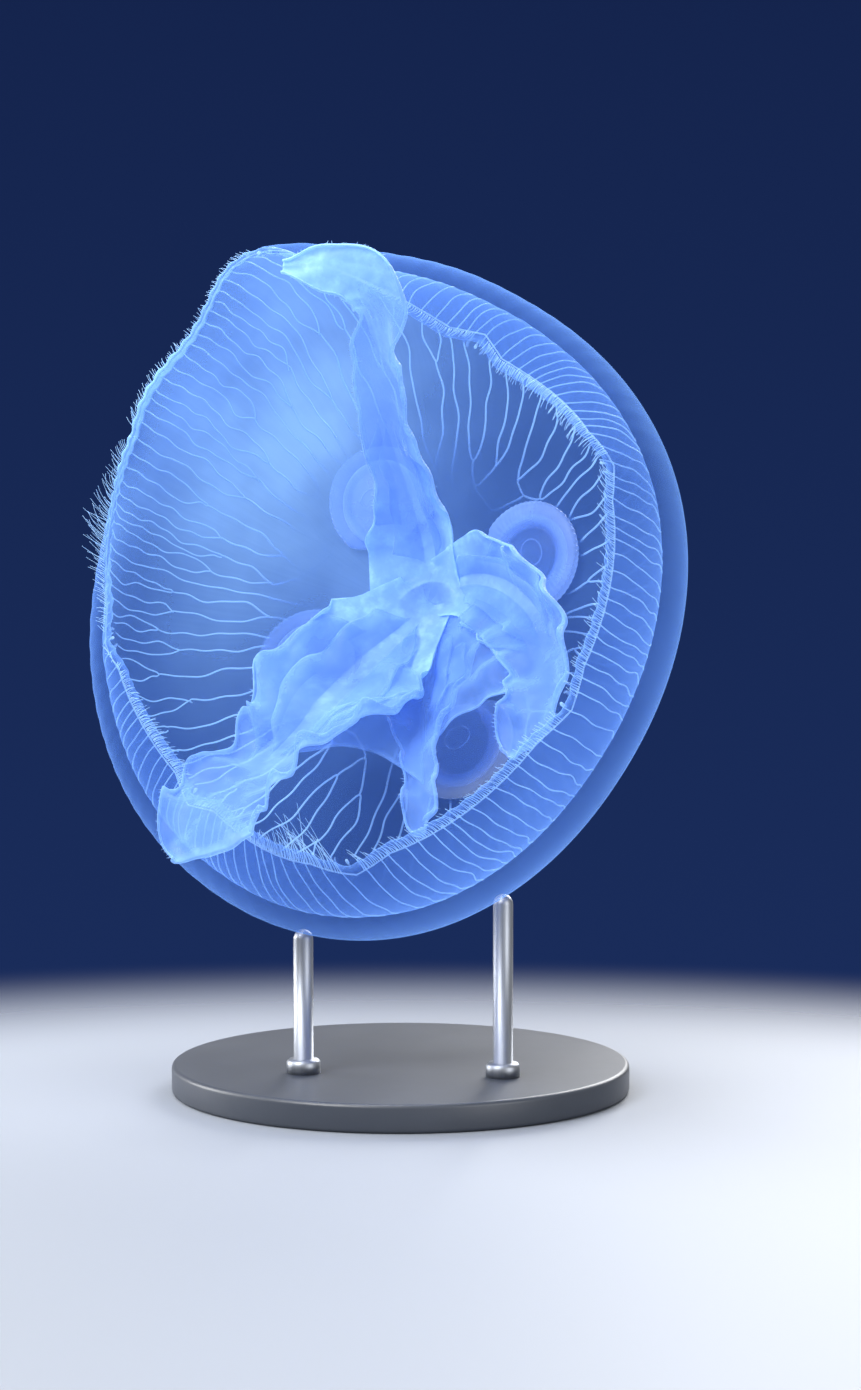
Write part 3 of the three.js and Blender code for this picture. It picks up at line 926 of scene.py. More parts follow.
@dataclass
class BellSkin:
    """The bell's one skin: the smooth outer surface, the rim and the hollow inner surface."""

    wall: BellWall
    around: int = 480
    along: int = 78
    crowding: float = 1.3
    rim_steps: int = 3
    under_solids: float = 0.15
    scallops: int = 168
    scallop_height: float = 0.12
    scallop_rise: Band = (0.74, 0.12)
    scallop_fall: Band = (0.93, 0.05)
    lappets: int = 104
    lappet_wave: float = 0.45
    lappet_rise: Band = (0.955, 0.045)
    # Painted light: a broad pale glow put into the inner surface's milk on the lit side, where light scatters
    # brightest in the flesh.
    painted_light_azimuth: float = 128
    painted_light_width: float = 51
    painted_light_reach: float = 0.62
    dims: tuple[tuple[float, float], ...] = ((20, 75), (248, 42))
    strip_azimuth: float = 140
    strip_width: float = 38
    painted_light_milk: float = 0.76
    painted_light_spread: float = 0.33
    stomach_milk: float = 0.25
    stomach_reach: float = 0.26
    fading_milk: float = 0.20
    fading_fall: Band = (0.45, 0.35)
    shoulder_milk: float = 0.12
    shoulder_rise: Band = (0.5, 0.2)
    shoulder_fall: Band = (0.8, 0.12)
    inner_milk: float = 0.10
    least_milk: float = 0.02
    dims_hide: float = 0.7
    edge_milk: tuple[float, float] = (0.25, 0.5)
    edge_from: float = 0.988
    edge_wider: float = 0.012
    edge_ease: float = 0.01
    grain: tuple[float, float, float] = (60, 5, 20)
    niches_from: Band = (0.5, 0.5)

    def profile(self) -> list[tuple[float, float]]:
        """The line that is spun: reach and side, where side is 0 outside and 1 inside.

        Returns:
            The line's points, from the crown's outer centre to its inner one.
        """
        steps = 1 - (1 - np.linspace(0, 1, self.along + 1)) ** self.crowding
        outer = [(float(r), 0.0) for r in steps]
        rim = []
        for i in range(1, self.rim_steps + 1):
            angle = math.pi * i / (self.rim_steps + 1)
            out = self.wall.rim_thickness / 2 / self.wall.mean_length * math.sin(angle)
            rim.append((1 + out, (1 - math.cos(angle)) / 2))
        inner = [(r, 1.0) for r, _ in reversed(outer)]
        return outer + rim + inner

    def depth(self, azimuth: Array, reach: Array, side: Array) -> Array:
        """Finds the depth of the skin, with its shallow scallops and the wavy edge of its lappets.

        Args:
            azimuth: Angle of each vertex.
            reach: Reach of each vertex.
            side: 0 for the outer surface, 1 for the inner one.

        Returns:
            The depth of each vertex under the outer surface of the solids.
        """
        flat = side * self.wall.thickness(reach) + self.under_solids * (1 - 2 * side)
        a = np.radians(azimuth)
        banded = ramp(reach, *self.scallop_rise) * (1 - ramp(reach, *self.scallop_fall))
        uneven = np.sin(a * self.scallops / 2 + 1.3 * np.sin(5 * a) + 9 * reach)
        lappet = ramp(reach, *self.lappet_rise) * np.sin(self.lappets * a + 2 * np.sin(7 * a))
        return flat + self.scallop_height * banded * uneven + self.lappet_wave * lappet

    def milk(self, azimuth: Array, reach: Array, side: Array) -> Array:
        """How milky it is: most round the stomach and at the very margin, least in the turned-in band, with
        painted light added as a broad milky glow on the lit side of the inner surface.

        Args:
            azimuth: Angle of each place.
            reach: Reach of each place.
            side: 0 for the outer surface, 1 for the inner one.

        Returns:
            The milk at each place.
        """
        dim = sum(bump(azimuth, at, width) for at, width in self.dims)
        middle = self.stomach_milk * bell_curve(reach, self.stomach_reach)
        fading = self.fading_milk * (1 - ramp(reach, *self.fading_fall))
        fading = fading * (1 - self.dims_hide * np.minimum(dim, 1))
        # Painted light: extra milk in a broad patch on the lit side of the inner surface.
        painted_light = self.painted_light_milk * bump(azimuth, self.painted_light_azimuth, self.painted_light_width)
        painted_light = painted_light * bell_curve(reach - self.painted_light_reach, self.painted_light_spread)
        shoulder = self.shoulder_milk * ramp(reach, *self.shoulder_rise)
        shoulder = shoulder * (1 - ramp(reach, *self.shoulder_fall))
        strip = bump(azimuth, self.strip_azimuth, self.strip_width)
        edge = self.edge_milk[0] + self.edge_milk[1] * strip
        edge = edge * ramp(reach, self.edge_from - self.edge_wider * strip, self.edge_ease)
        inner = self.inner_milk + middle + fading + painted_light
        return side * inner + (1 - side) * shoulder + self.least_milk + edge

    def build(self) -> None:
        """Builds the skin and puts it in the scene."""
        mesh = bent_lathe("bell_skin", self.profile(), self.around)
        co = coordinates(mesh)
        (azimuth, reach), side = polar(co), co[:, 2]
        end = self.wall.margin_reach(azimuth)
        own_reach = reach * between(1, end, ramp(reach, *self.niches_from))
        mark(mesh, "milk", self.milk(azimuth, reach, side))
        a = np.radians(azimuth)
        round_it, along, apart = self.grain
        grain = [round_it * np.cos(a), round_it * np.sin(a), along * reach + apart * side]
        mark(mesh, "grain", np.column_stack(grain))
        settle(mesh, self.wall.point(azimuth, own_reach, self.depth(azimuth, reach, side)))
        lobes = [f"bell_lobe_{i + 1}" for i in range(self.wall.lobes)]
        show(mesh, Slot.BELL, CLEAR_FLESH.build(), "bell_crown", *lobes)


@dataclass
class CanalNetwork:
    """The canals in the wall: eight that run straight and eight that fork again and again."""

    wall: BellWall
    gonads: "Gonads"
    root_reach: float = 0.23
    forks: tuple[float, ...] = (0.245, 0.285, 0.34, 0.58)
    fork_jitter: float = 0.13
    fork_run: float = 0.05
    fork_apart: float = 0.02
    fork_share: tuple[float, float] = (0.4, 0.6)
    finest: float = 2.6
    straight_width: float = 2.6
    wobble: float = 0.62
    wobble_lengths: tuple[float, ...] = (0.26, 0.15, 0.085)
    wobble_share: tuple[float, float] = (0.4, 1)
    wobble_fall: float = 0.8
    wobble_ease: float = 0.03
    radius: tuple[float, float] = (0.40, 0.24)
    under_inner: float = 0.25
    step: float = 0.006
    doubled: float = 3.0
    calms: Band = (0.76, 0.1)
    thins: Band = (0.3, 0.55)
    brightens: Band = (0.32, 0.2)
    dims: Band = (0.7, 0.1)
    # Where the painted light lies on the bell's inner surface; under it the canals start farther out.
    painted_light_azimuth: float = 122
    painted_light_width: float = 45
    least_shown: float = 0.05
    shown_from: float = 0.21
    shown_over: float = 0.15
    least_bright: float = 0.6
    dims_by: float = 0.25
    painted_light_hides: float = 0.16
    behind_hides: float = 0.88
    margin_reach: float = 0.985

    def __post_init__(self) -> None:
        """Starts the seeded draws."""
        self.draws = np.random.default_rng(SEED)

    def grow(self, low: float, high: float, start: tuple[float, float], level: int) -> list[CanalPath]:
        """Follows one canal outwards, and all that fork off it.

        Args:
            low: Lowest azimuth of the flesh that it serves.
            high: Highest azimuth of that flesh.
            start: Azimuth and reach of its root.
            level: How many forks lie behind it.

        Returns:
            The forks that each canal passes, as azimuth and reach.
        """
        path = [start]
        others = []
        while high - low > self.finest and level < len(self.forks):
            fork = self.forks[level] * (1 + self.draws.uniform(-1, 1) * self.fork_jitter)
            fork = max(fork, path[-1][1] + self.fork_apart)
            middle = (low + high) / 2 if level else start[0]
            path.append((middle, fork))
            split = between(low, high, self.draws.uniform(*self.fork_share))
            halves = [(low, split), (split, high)]
            if self.draws.random() < 0.5:
                halves.reverse()
            others += self.grow(*halves[1], (middle, fork), level + 1)
            low, high = halves[0]
            level += 1
        path.append(((low + high) / 2, self.margin_reach))
        return [path, *others]

    def strand(self, path: CanalPath) -> Strand:
        """Lays a canal through its forks, wavering a little on the way.

        Args:
            path: The forks, as azimuth and reach.

        Returns:
            The canal as a thread in the wall.
        """
        route_azimuth, route_reach = [], []
        for (a0, r0), (a1, r1) in zip(path, path[1:]):
            count = max(4, int((r1 - r0) / self.step))
            t = np.linspace(0, 1, count, endpoint=False)
            route_reach.append(between(r0, r1, t))
            run = np.clip(t * (r1 - r0) / min(self.fork_run * (1 + abs(a1 - a0) / 6), r1 - r0), 0, 1)
            route_azimuth.append(between(a0, a1, 0.5 * smooth(run) + 0.5 * np.sqrt(1 - (1 - run) ** 2)))
        azimuth = np.concatenate([*route_azimuth, [path[-1][0]]])
        reach = np.concatenate([*route_reach, [path[-1][1]]])
        free = ramp(reach, path[0][1], self.wobble_ease) * (1 - 0.5 * ramp(reach, *self.calms))
        for length in self.wobble_lengths:
            phase, strength = self.draws.uniform(0, 2 * math.pi), self.draws.uniform(*self.wobble_share)
            size = self.wobble * strength * (length / self.wobble_lengths[0]) ** self.wobble_fall
            azimuth = azimuth + free * size * np.sin(2 * math.pi * reach / length + phase)
        return self.lay(azimuth, reach)

    @cached_property
    def turned_in(self) -> tuple[Array, Array]:
        """For each degree, the reach from where the turned-in margin covers the wall, and to where.

        Returns:
            Both reaches, with a value for each degree from 0 to 360.
        """
        azimuth, reach = np.meshgrid(np.arange(361.0), np.linspace(0.2, 1, 161), indexing="ij")
        seen = self.wall.pose.seen(self.wall.point(azimuth, reach, self.wall.thickness(reach)))
        seen -= seen[:, -1].mean(axis=0)
        bearing, far = np.arctan2(seen[..., 1], seen[..., 0]), np.linalg.norm(seen, axis=-1)
        margin = np.interp(bearing, bearing[:, -1], far[:, -1], period=2 * math.pi)
        covered = (far >= margin * (1 - 1e-6)).argmax(axis=1)
        return reach[0][covered], reach[0][(far / margin).argmax(axis=1)]

    def behind(self, azimuth: Array, reach: Array) -> Array:
        """How far each place lies behind the turned-in margin, where canals hardly show through.

        Args:
            azimuth: Angle of each place.
            reach: Reach of each place.

        Returns:
            From 0 in the open to 1.
        """
        start, end = (np.interp(azimuth % 360, np.arange(361), line) for line in self.turned_in)
        ease = self.doubled / self.wall.mean_length
        return smooth((reach - start) / ease + 0.2) * (1 - smooth((reach - end) / ease / 2))

    def lay(self, azimuth: Array, reach: Array) -> Strand:
        """Lays a thread just under the wall's inner surface.

        Args:
            azimuth: Angle of each of its points.
            reach: Reach of each of its points.

        Returns:
            The thread.
        """
        out = ramp(reach, *self.thins)
        thick = between(*self.radius, out)
        depth = self.wall.thickness(reach) - self.under_inner * (1 - 0.5 * out)
        # Canals start farther out under the painted light of the bell's inner surface.
        under_painted_light = bump(azimuth, self.painted_light_azimuth, self.painted_light_width)
        shown = ramp(reach, self.shown_from + self.painted_light_hides * under_painted_light, self.shown_over)
        shown = between(self.least_shown, 1, shown)
        faint = between(self.least_bright, 1, ramp(reach, *self.brightens))
        open_to_view = 1 - self.behind_hides * self.behind(azimuth, reach)
        milk = shown * faint * open_to_view * (1 - self.dims_by * ramp(reach, *self.dims))
        milk = milk * (1 - self.gonads.cover(azimuth, self.wall.section(azimuth, reach, depth)[0]))
        route = self.wall.point(azimuth, reach, depth)
        return Strand(route, thick, milk, (float(azimuth[0] % 360) / 360, float(reach[0])))

    def build(self) -> None:
        """Builds the network and puts it in the scene."""
        lobe = 360 / self.wall.lobes
        paths = []
        for number in range(self.wall.lobes):
            organ = self.wall.organ_azimuth(number)
            half = (lobe - self.straight_width) / 2
            paths += self.grow(organ - half, organ + half, (organ, self.root_reach), 0)
            paths.append([(organ + lobe / 2, reach) for reach in (self.root_reach, self.margin_reach)])
        strands = [self.strand(path) for path in paths]
        show(bundle("canal_network", strands, 5), Slot.BELL, CANAL_FLESH.build())


@dataclass
class Margin:
    """What the bell's edge carries: the ring canal and the fine tentacles of each lobe."""

    wall: BellWall
    length: tuple[float, ...] = (7, 3, 2.4, 4.5, 6, 4, 4.5, 4.5)
    longer: tuple[tuple[float, float, float], ...] = ((274, 8, 15), (166, 10, 6))
    turn: tuple[float, ...] = (10, 0, -35, -50, -55, 10, 25, 15)
    wave: float = 5
    waves: float = 16
    per_lobe: int = 112
    beside_organ: float = 2.2
    root_reach: float = 0.988
    root_depth: float = 0.45
    thickness: tuple[float, float] = (0.15, 0.08)
    rings: int = 9
    sweep: float = 34
    sweep_waves: float = 2.6
    sweep_phase: float = 2.2
    curl: float = 34
    curl_waves: float = 3.7
    lean_at_root: float = 0.4
    milk: tuple[float, float] = (0.95, 0.65)
    ring_radius: float = 0.26
    ring_milk: float = 0.6
    ring_inside: float = 0.004
    spread: tuple[float, float] = (0.35, 1.1)
    shortest: float = 0.8
    scatter: tuple[float, float, float] = (5, 9, 14)
    jitter: float = 0.15

    def __post_init__(self) -> None:
        """Starts the seeded draws."""
        self.draws = np.random.default_rng(SEED + 1)

    def tentacle(self, azimuth: float) -> Strand:
        """Lets one tentacle hang from the margin.

        Args:
            azimuth: Where its root is.

        Returns:
            The tentacle as a thread.
        """
        end = self.root_reach * float(self.wall.margin_reach(azimuth))
        radius, drop = (float(x) for x in self.wall.section(azimuth, end, self.root_depth))
        length = float(self.wall.around(self.length, azimuth))
        length += sum(more * float(bump(azimuth, at, width)) for at, width, more in self.longer)
        length = length * self.draws.uniform(*self.spread) + self.shortest
        turn_scatter, lean_scatter, bend_scatter = self.scatter
        a = math.radians(azimuth)
        own = float(self.wall.around(self.turn, azimuth)) + self.wave * math.cos(self.waves * a)
        start = float(self.wall.turn(azimuth, 1.0)) + own + self.draws.normal(0, turn_scatter)
        sweep, curl = math.sin(self.sweep_waves * a - self.sweep_phase), math.sin(self.curl_waves * a)
        lean = self.sweep * sweep + self.draws.normal(0, lean_scatter)
        bend = self.curl * curl + self.draws.normal(0, bend_scatter)
        step = length / (self.rings - 1)
        points = []
        for i in range(self.rings):
            points.append((azimuth, radius, drop))
            along = i / (self.rings - 1)
            turned = math.radians(start + bend * along)
            leaned = math.radians(lean * (self.lean_at_root + along))
            radius += step * math.cos(turned) * math.cos(leaned)
            drop += step * math.sin(turned) * math.cos(leaned)
            azimuth += math.degrees(step * math.sin(leaned) / radius)
        route = self.wall.pose.point(*np.array(points).T)
        t = np.linspace(0, 1, self.rings)
        thick, milk = between(*self.thickness, smooth(t * 1.4)), between(*self.milk, t)
        return Strand(route, thick, milk, (points[0][0] % 360 / 360, end))

    def ring(self) -> Strand:
        """The ring canal, a grainy cord just inside the margin.

        Returns:
            The canal as a thread.
        """
        azimuth = np.linspace(0, 360, 1441)
        reach = self.root_reach * self.wall.margin_reach(azimuth) - self.ring_inside
        grain = 1 + 0.12 * np.sin(np.radians(azimuth * 97)) + 0.08 * self.draws.normal(size=len(azimuth))
        return Strand(
            self.wall.point(azimuth, reach, self.wall.thickness(reach) / 2),
            self.ring_radius * grain,
            np.full(len(azimuth), self.ring_milk),
            (0.0, self.root_reach),
        )

    def build(self) -> None:
        """Builds the ring canal and each lobe's tentacles, and puts them in the scene."""
        material = MARGIN_FLESH.build()
        show(bundle("ring_canal", [self.ring()], 6), Slot.MARGIN, material)
        lobe = 360 / self.wall.lobes
        for number in range(self.wall.lobes):
            start = self.wall.organ_azimuth(number)
            places = np.linspace(start + self.beside_organ, start + lobe - self.beside_organ, self.per_lobe)
            strands = [self.tentacle(a + self.draws.uniform(-self.jitter, self.jitter)) for a in places]
            mesh = bundle(f"tentacles_{number + 1}", strands, 4)
            show(mesh, Slot.MARGIN, material, f"tentacle_fringe_{number + 1}")


@dataclass
class SenseOrgans:
    """The eight sense organs, each a small club between two lappets in its niche."""

    wall: BellWall
    club_length: float = 3.0
    club_radius: float = 0.5
    stem_radius: float = 0.26
    lappet_length: float = 4.2
    lappet_apart: tuple[float, float] = (1.3, 0.9)
    lappet_radius: tuple[float, float] = (0.2, 0.3)
    rooted: float = 0.1
    swells: Band = (0.45, 0.25)
    club_milk: tuple[float, float] = (0.3, 0.7)
    lappet_milk: tuple[float, float] = (0.2, 0.3)
    steps: int = 10

    def club(self, azimuth: float) -> list[Strand]:
        """The club and the two lappets beside it, as short thick threads.

        Args:
            azimuth: Where the organ is.

        Returns:
            The three threads.
        """
        t = np.linspace(0, 1, self.steps)
        length, mid = self.wall.mean_length, self.wall.rim_thickness / 2
        reach = 1 - self.wall.notch_depth / length * (1 - self.rooted)
        root = (azimuth / 360, reach)
        bulb = between(self.stem_radius, self.club_radius, ramp(t, *self.swells))
        route = self.wall.point(azimuth, reach + self.club_length / length * t, mid)
        strands = [Strand(route, bulb, between(*self.club_milk, t), root)]
        thin, thicker = self.lappet_radius
        swell = thin + thicker * np.sin(math.pi * np.clip(t * 0.9 + 0.05, 0, 1))
        near, farther = self.lappet_apart
        for side in (-1, 1):
            out = side * (near + farther * np.sin(math.pi * t * 0.8))
            route = self.wall.point(azimuth + out, reach + self.lappet_length / length * t, mid)
            strands.append(Strand(route, swell, between(*self.lappet_milk, t), root))
        return strands

    def build(self) -> None:
        """Builds the organs and puts them in the scene."""
        material = MARGIN_FLESH.build()
        for number in range(self.wall.lobes):
            mesh = bundle(f"sense_organ_{number + 1}", self.club(self.wall.organ_azimuth(number)), 10)
            show(mesh, Slot.MARGIN, material, f"rhopalium_{number + 1}")


@dataclass
class Gonads:
    """The four pleated horseshoes under the crown, each with the thin skin of its pouch."""

    wall: BellWall
    azimuth: tuple[float, ...] = (21, 109, 197, 288)
    ring: tuple[float, ...] = (46.5, 48, 46, 54)
    radius: float = 16
    opening: float = 84
    width: float = 9.5
    thickness: float = 6
    clear: float = 0.45
    edge: float = 0.35
    end: float = 0.5
    ends: float = 0.08
    pleats: int = 44
    pleat_depth: float = 0.03
    across: int = 22
    along: int = 420
    pouch_radius: float = 16
    pouch_rise: tuple[float, float] = (3.0, 6.5)
    pouch_skin: float = 0.5
    pouch_rings: int = 14
    pouch_around: int = 64
    pouch_edge: float = 0.2
    pit_radius: float = 4.2
    pit_lip: float = 0.16
    pit_aside: float = 2.5
    pit_stretch: float = 1.2
    pit_steps: int = 73
    pit_milk: float = 0.35
    pleat_sway: float = 0.03
    pleat_milk: float = 0.02
    outer_hides: float = 0.35
    uneven_milk: float = 0.16
    fullness: float = 0.95
    own_milk: float = 0.95
    cover_margin: float = 1
    cover_ease: float = 3
    band_milk: tuple[float, ...] = (0.46, 0.38, 0.28, 0.28)
    pouch_milk: tuple[float, ...] = (0.10, 0.46, 0.16, 0.12)
    warm: tuple[float, ...] = (0.14, 0.0, 0.06, 0.6)
    warm_turn: Band = (10, 70)
    warm_side: Band = (-0.6, 1.2)
    inner_side: Band = (-1.05, 0.6)
    outer_side: Band = (0.78, 0.2)
    end_rounding: float = 0.015

    def beside(self, number: int, turn: Array, away: Array, clear: Array) -> Array:
        """Finds points round the middle of one horseshoe.

        Args:
            number: Which of the four.
            turn: Direction from the horseshoe's middle, in degrees, 0 away from the bell's axis.
            away: Distance from its middle.
            clear: How far the points keep off the crown's inner surface.

        Returns:
            One point in each row.
        """
        outwards = self.ring[number] + away * np.cos(np.radians(turn))
        sideways = away * np.sin(np.radians(turn))
        azimuth = self.azimuth[number] + np.degrees(np.arctan2(sideways, outwards))
        return self.wall.under(azimuth, np.hypot(outwards, sideways), clear)

    def cover(self, azimuth: Array, radius: Array) -> Array:
        """How far each place of the crown lies under one of them.

        Args:
            azimuth: Angle of each place.
            radius: Distance of each from the axis.

        Returns:
            From 0, beside them all, to 1.
        """
        found = np.zeros_like(radius)
        edge = self.radius + self.width / 2 - self.cover_margin
        for own, ring in zip(self.azimuth, self.ring):
            apart = np.radians(azimuth - own)
            away = np.hypot(radius * np.cos(apart) - ring, radius * np.sin(apart))
            found = np.maximum(found, 1 - ramp(away, edge, self.cover_ease))
        return found

    def band(self, number: int) -> bpy.types.Mesh:
        """The pleated band itself, thickest in its middle.

        Args:
            number: Which of the four.

        Returns:
            The closed band.
        """
        mesh, u, v, w = bent_slab(f"gonad_band_{number + 1}", self.across, self.along)
        side = np.sin(math.pi / 2 * (2 * u - 1))
        full = between(self.end, 1, smooth(np.minimum(v, 1 - v) / self.ends))
        bulge = between(self.edge, 1, np.sqrt(1 - side**2))
        turn = (360 - self.opening) * (v - 0.5)
        pleat = np.sin(2 * math.pi * self.pleats * v + 1.1 * np.sin(17 * v) + 1.5 * side)
        away = self.radius + 0.5 * side * self.width * full * (1 - self.pleat_sway * (1 - pleat))
        rounded = np.clip(np.minimum(v, 1 - v) / self.end_rounding, 0.1, 1) ** 0.5
        height = self.thickness * (self.fullness * bulge * full * rounded * (w - 0.5))
        height = height * (1 - self.pleat_depth * (0.5 + 0.5 * pleat) * w)
        inner, outer = ramp(side, *self.inner_side), ramp(side, *self.outer_side)
        uneven = self.pleat_milk * pleat * w + self.uneven_milk * np.sin(9 * v + number)
        own = self.own_milk + uneven - self.outer_hides * outer
        mark(mesh, "milk", self.band_milk[number] * own * inner)
        mark(mesh, "warm", self.warm[number] * bump(turn, *self.warm_turn) * ramp(side, *self.warm_side))
        settle(mesh, self.beside(number, turn, away, self.clear + self.thickness / 2 + height))
        return mesh

    def pouch(self, number: int) -> bpy.types.Mesh:
        """The thin domed skin that closes the inside of the horseshoe.

        Args:
            number: Which of the four.

        Returns:
            The closed skin.
        """
        share = np.linspace(0, 1, self.pouch_rings)
        top = [(r, between(*self.pouch_rise, 1 - r * r)) for r in share]
        bottom = [(r, h - self.pouch_skin) for r, h in reversed(top)]
        mesh = bent_lathe(f"gonad_pouch_{number + 1}", top + bottom, self.pouch_around)
        co = coordinates(mesh)
        turn, away = polar(co)
        mark(mesh, "milk", self.pouch_milk[number] + self.pouch_edge * away**8)
        settle(mesh, self.beside(number, turn, away * self.pouch_radius, self.clear + co[:, 2]))
        return mesh

    def pit(self, number: int) -> Strand:
        """The thin lip round the opening of a pouch.

        Args:
            number: Which of the four.

        Returns:
            The lip as a thread.
        """
        turn = np.linspace(0, 360, self.pit_steps)
        offset = self.pit_aside * np.array([math.cos(number), math.sin(number)])
        out = self.pit_radius * np.cos(np.radians(turn)) + offset[0]
        aside = self.pit_stretch * self.pit_radius * np.sin(np.radians(turn)) + offset[1]
        around = np.degrees(np.arctan2(aside, out))
        route = self.beside(number, around, np.hypot(out, aside), self.clear + self.pouch_rise[1])
        thick, milk = np.full(self.pit_steps, self.pit_lip), np.full(self.pit_steps, self.pit_milk)
        return Strand(route, thick, milk, (0.2 + 0.2 * number, 0.25))

    def build(self) -> None:
        """Builds the horseshoes and their pouches, and puts them in the scene."""
        material = GONAD_FLESH.build()
        for number in range(len(self.azimuth)):
            show(self.pouch(number), Slot.GONAD, material)
            show(self.band(number), Slot.GONAD, material, f"gonad_{number + 1}")
        pits = [self.pit(number) for number in range(len(self.azimuth))]
        show(bundle("gonad_pits", pits, 8), Slot.GONAD, material)


@dataclass(frozen=True)
class OralArm:
    """One mouth arm: a ribbon with a thick midrib and two thin frilled flaps.

    Attributes:
        path: Azimuth, distance from the axis and distance in front of the crown.
        clockwise: How far the flap on that side reaches, at equal steps from the root to the tip.
        counter: The same for the other flap.
        fold: Depth of its gutter, at equal steps.
        frill: Height of its frills, at equal steps.
        frills: How many waves its edge has.
        roll: How far it rolls about its own line, at equal steps.
        milk: How milky it is, at equal steps.
        lips_end: How far along it the lips in its gutter reach.
        spots: Its spots: place along and across it, reach along and across it, and added milk.
        tip_narrows: How much its rounded tip narrows.
    """

    path: tuple[tuple[float, float, float], ...]
    clockwise: tuple[float, ...]
    counter: tuple[float, ...]
    fold: tuple[float, ...]
    frill: tuple[float, ...]
    frills: int
    roll: tuple[float, ...]
    milk: tuple[float, ...]
    lips_end: float
    spots: tuple[tuple[float, float, float, float, float], ...] = ()
    tip_narrows: float = 0.85


ARMS = (
    OralArm(
        path=(
            (26, 12, 31), (62, 24, 36), (75, 38, 47), (81, 54, 62), (80, 66, 78),
            (77, 78, 94), (74, 88, 110), (76, 94, 122), (82, 96.5, 128), (91, 97, 131),
        ),
        clockwise=(12, 10, 10, 10, 10, 11, 12, 13, 13, 12.5, 7, 3),
        counter=(24, 24, 19, 12, 10, 10, 10, 9, 8, 8, 9, 5),
        fold=(4, 4, 4, 3, 2, 1, 0),
        frill=(1, 0.6, 0.6, 0.6, 1, 1),
        frills=5,
        roll=(0, 0, 0, -5, -10),
        milk=(0.30, 0.26, 0.22, 0.22, 0.24, 0.30, 0.56, 0.60),
        lips_end=0.42,
        spots=((0.25, 0.8, 0.12, 0.4, 1.8),),
    ),
    OralArm(
        path=(
            (4, 11, 31), (282, 11, 38), (250, 27, 50), (248, 46, 66),
            (250, 63, 84), (252, 79, 104), (253, 91, 118), (254, 101, 127), (257, 112, 133),
        ),
        clockwise=(16, 23, 27, 32, 21, 19, 25, 23, 17),
        counter=(10, 18, 32, 37, 31, 20, 18, 21, 22),
        fold=(4, 6, 8, 7, 4, 2),
        frill=(1, 2, 3, 3, 3, 2),
        frills=6,
        roll=(0, 0, 8, 8, 0),
        milk=(0.36, 0.44, 0.42, 0.34, 0.24, 0.22, 0.26),
        lips_end=0.63,
        spots=(
            (0.255, 0.36, 0.052, 0.30, -0.95),
            (0.58, -0.45, 0.056, 0.35, -0.95),
            (0.38, -0.5, 0.10, 0.5, 0.7),
        ),
        tip_narrows=0.3,
    ),
    OralArm(
        path=((344, 11, 31), (299, 24, 36), (289, 45, 48), (288, 68, 64), (288, 89, 78), (288, 104, 88)),
        clockwise=(12, 20, 14, 7, 6, 6),
        counter=(12, 20, 16, 7, 6, 6),
        fold=(2, 2, 3, 2, 1),
        frill=(1, 0.6, 0.6, 1, 1),
        frills=5,
        roll=(0, 0, 0),
        milk=(0.30, 0.24, 0.20, 0.20),
        lips_end=0.5,
    ),
    OralArm(
        path=(
            (17, 14, 31), (12, 28, 37), (0, 43, 44), (347, 59, 52),
            (335, 73, 61), (326, 85, 70), (317, 93, 79), (311, 99, 87),
        ),
        clockwise=(10, 17, 21, 21, 16, 15, 13, 9),
        counter=(12, 15, 15, 13, 13, 11, 9, 7),
        fold=(4, 6, 6, 5, 3),
        frill=(1, 2, 2, 2, 2),
        frills=6,
        roll=(0, 10, 15, 10, 5),
        milk=(0.34, 0.32, 0.26, 0.22),
        lips_end=0.6,
    ),
)


@dataclass(frozen=True)
class Curtain:
    """A thin milky skin between two mouth arms.

    Attributes:
        near: Number of one arm from 0, the place across it, and how far along it the skin reaches.
        far: The same for the other arm.
        arch: How far its free edge is drawn up between them.
        milk: How milky it is.
    """

    near: tuple[int, float, float]
    far: tuple[int, float, float]
    arch: float
    milk: float


CURTAINS = (
    Curtain(near=(2, 0.0, 0.60), far=(3, 0.85, 0.73), arch=0.13, milk=0.26),
    Curtain(near=(1, 0.0, 0.60), far=(2, 0.0, 0.76), arch=0.16, milk=0.20),
)


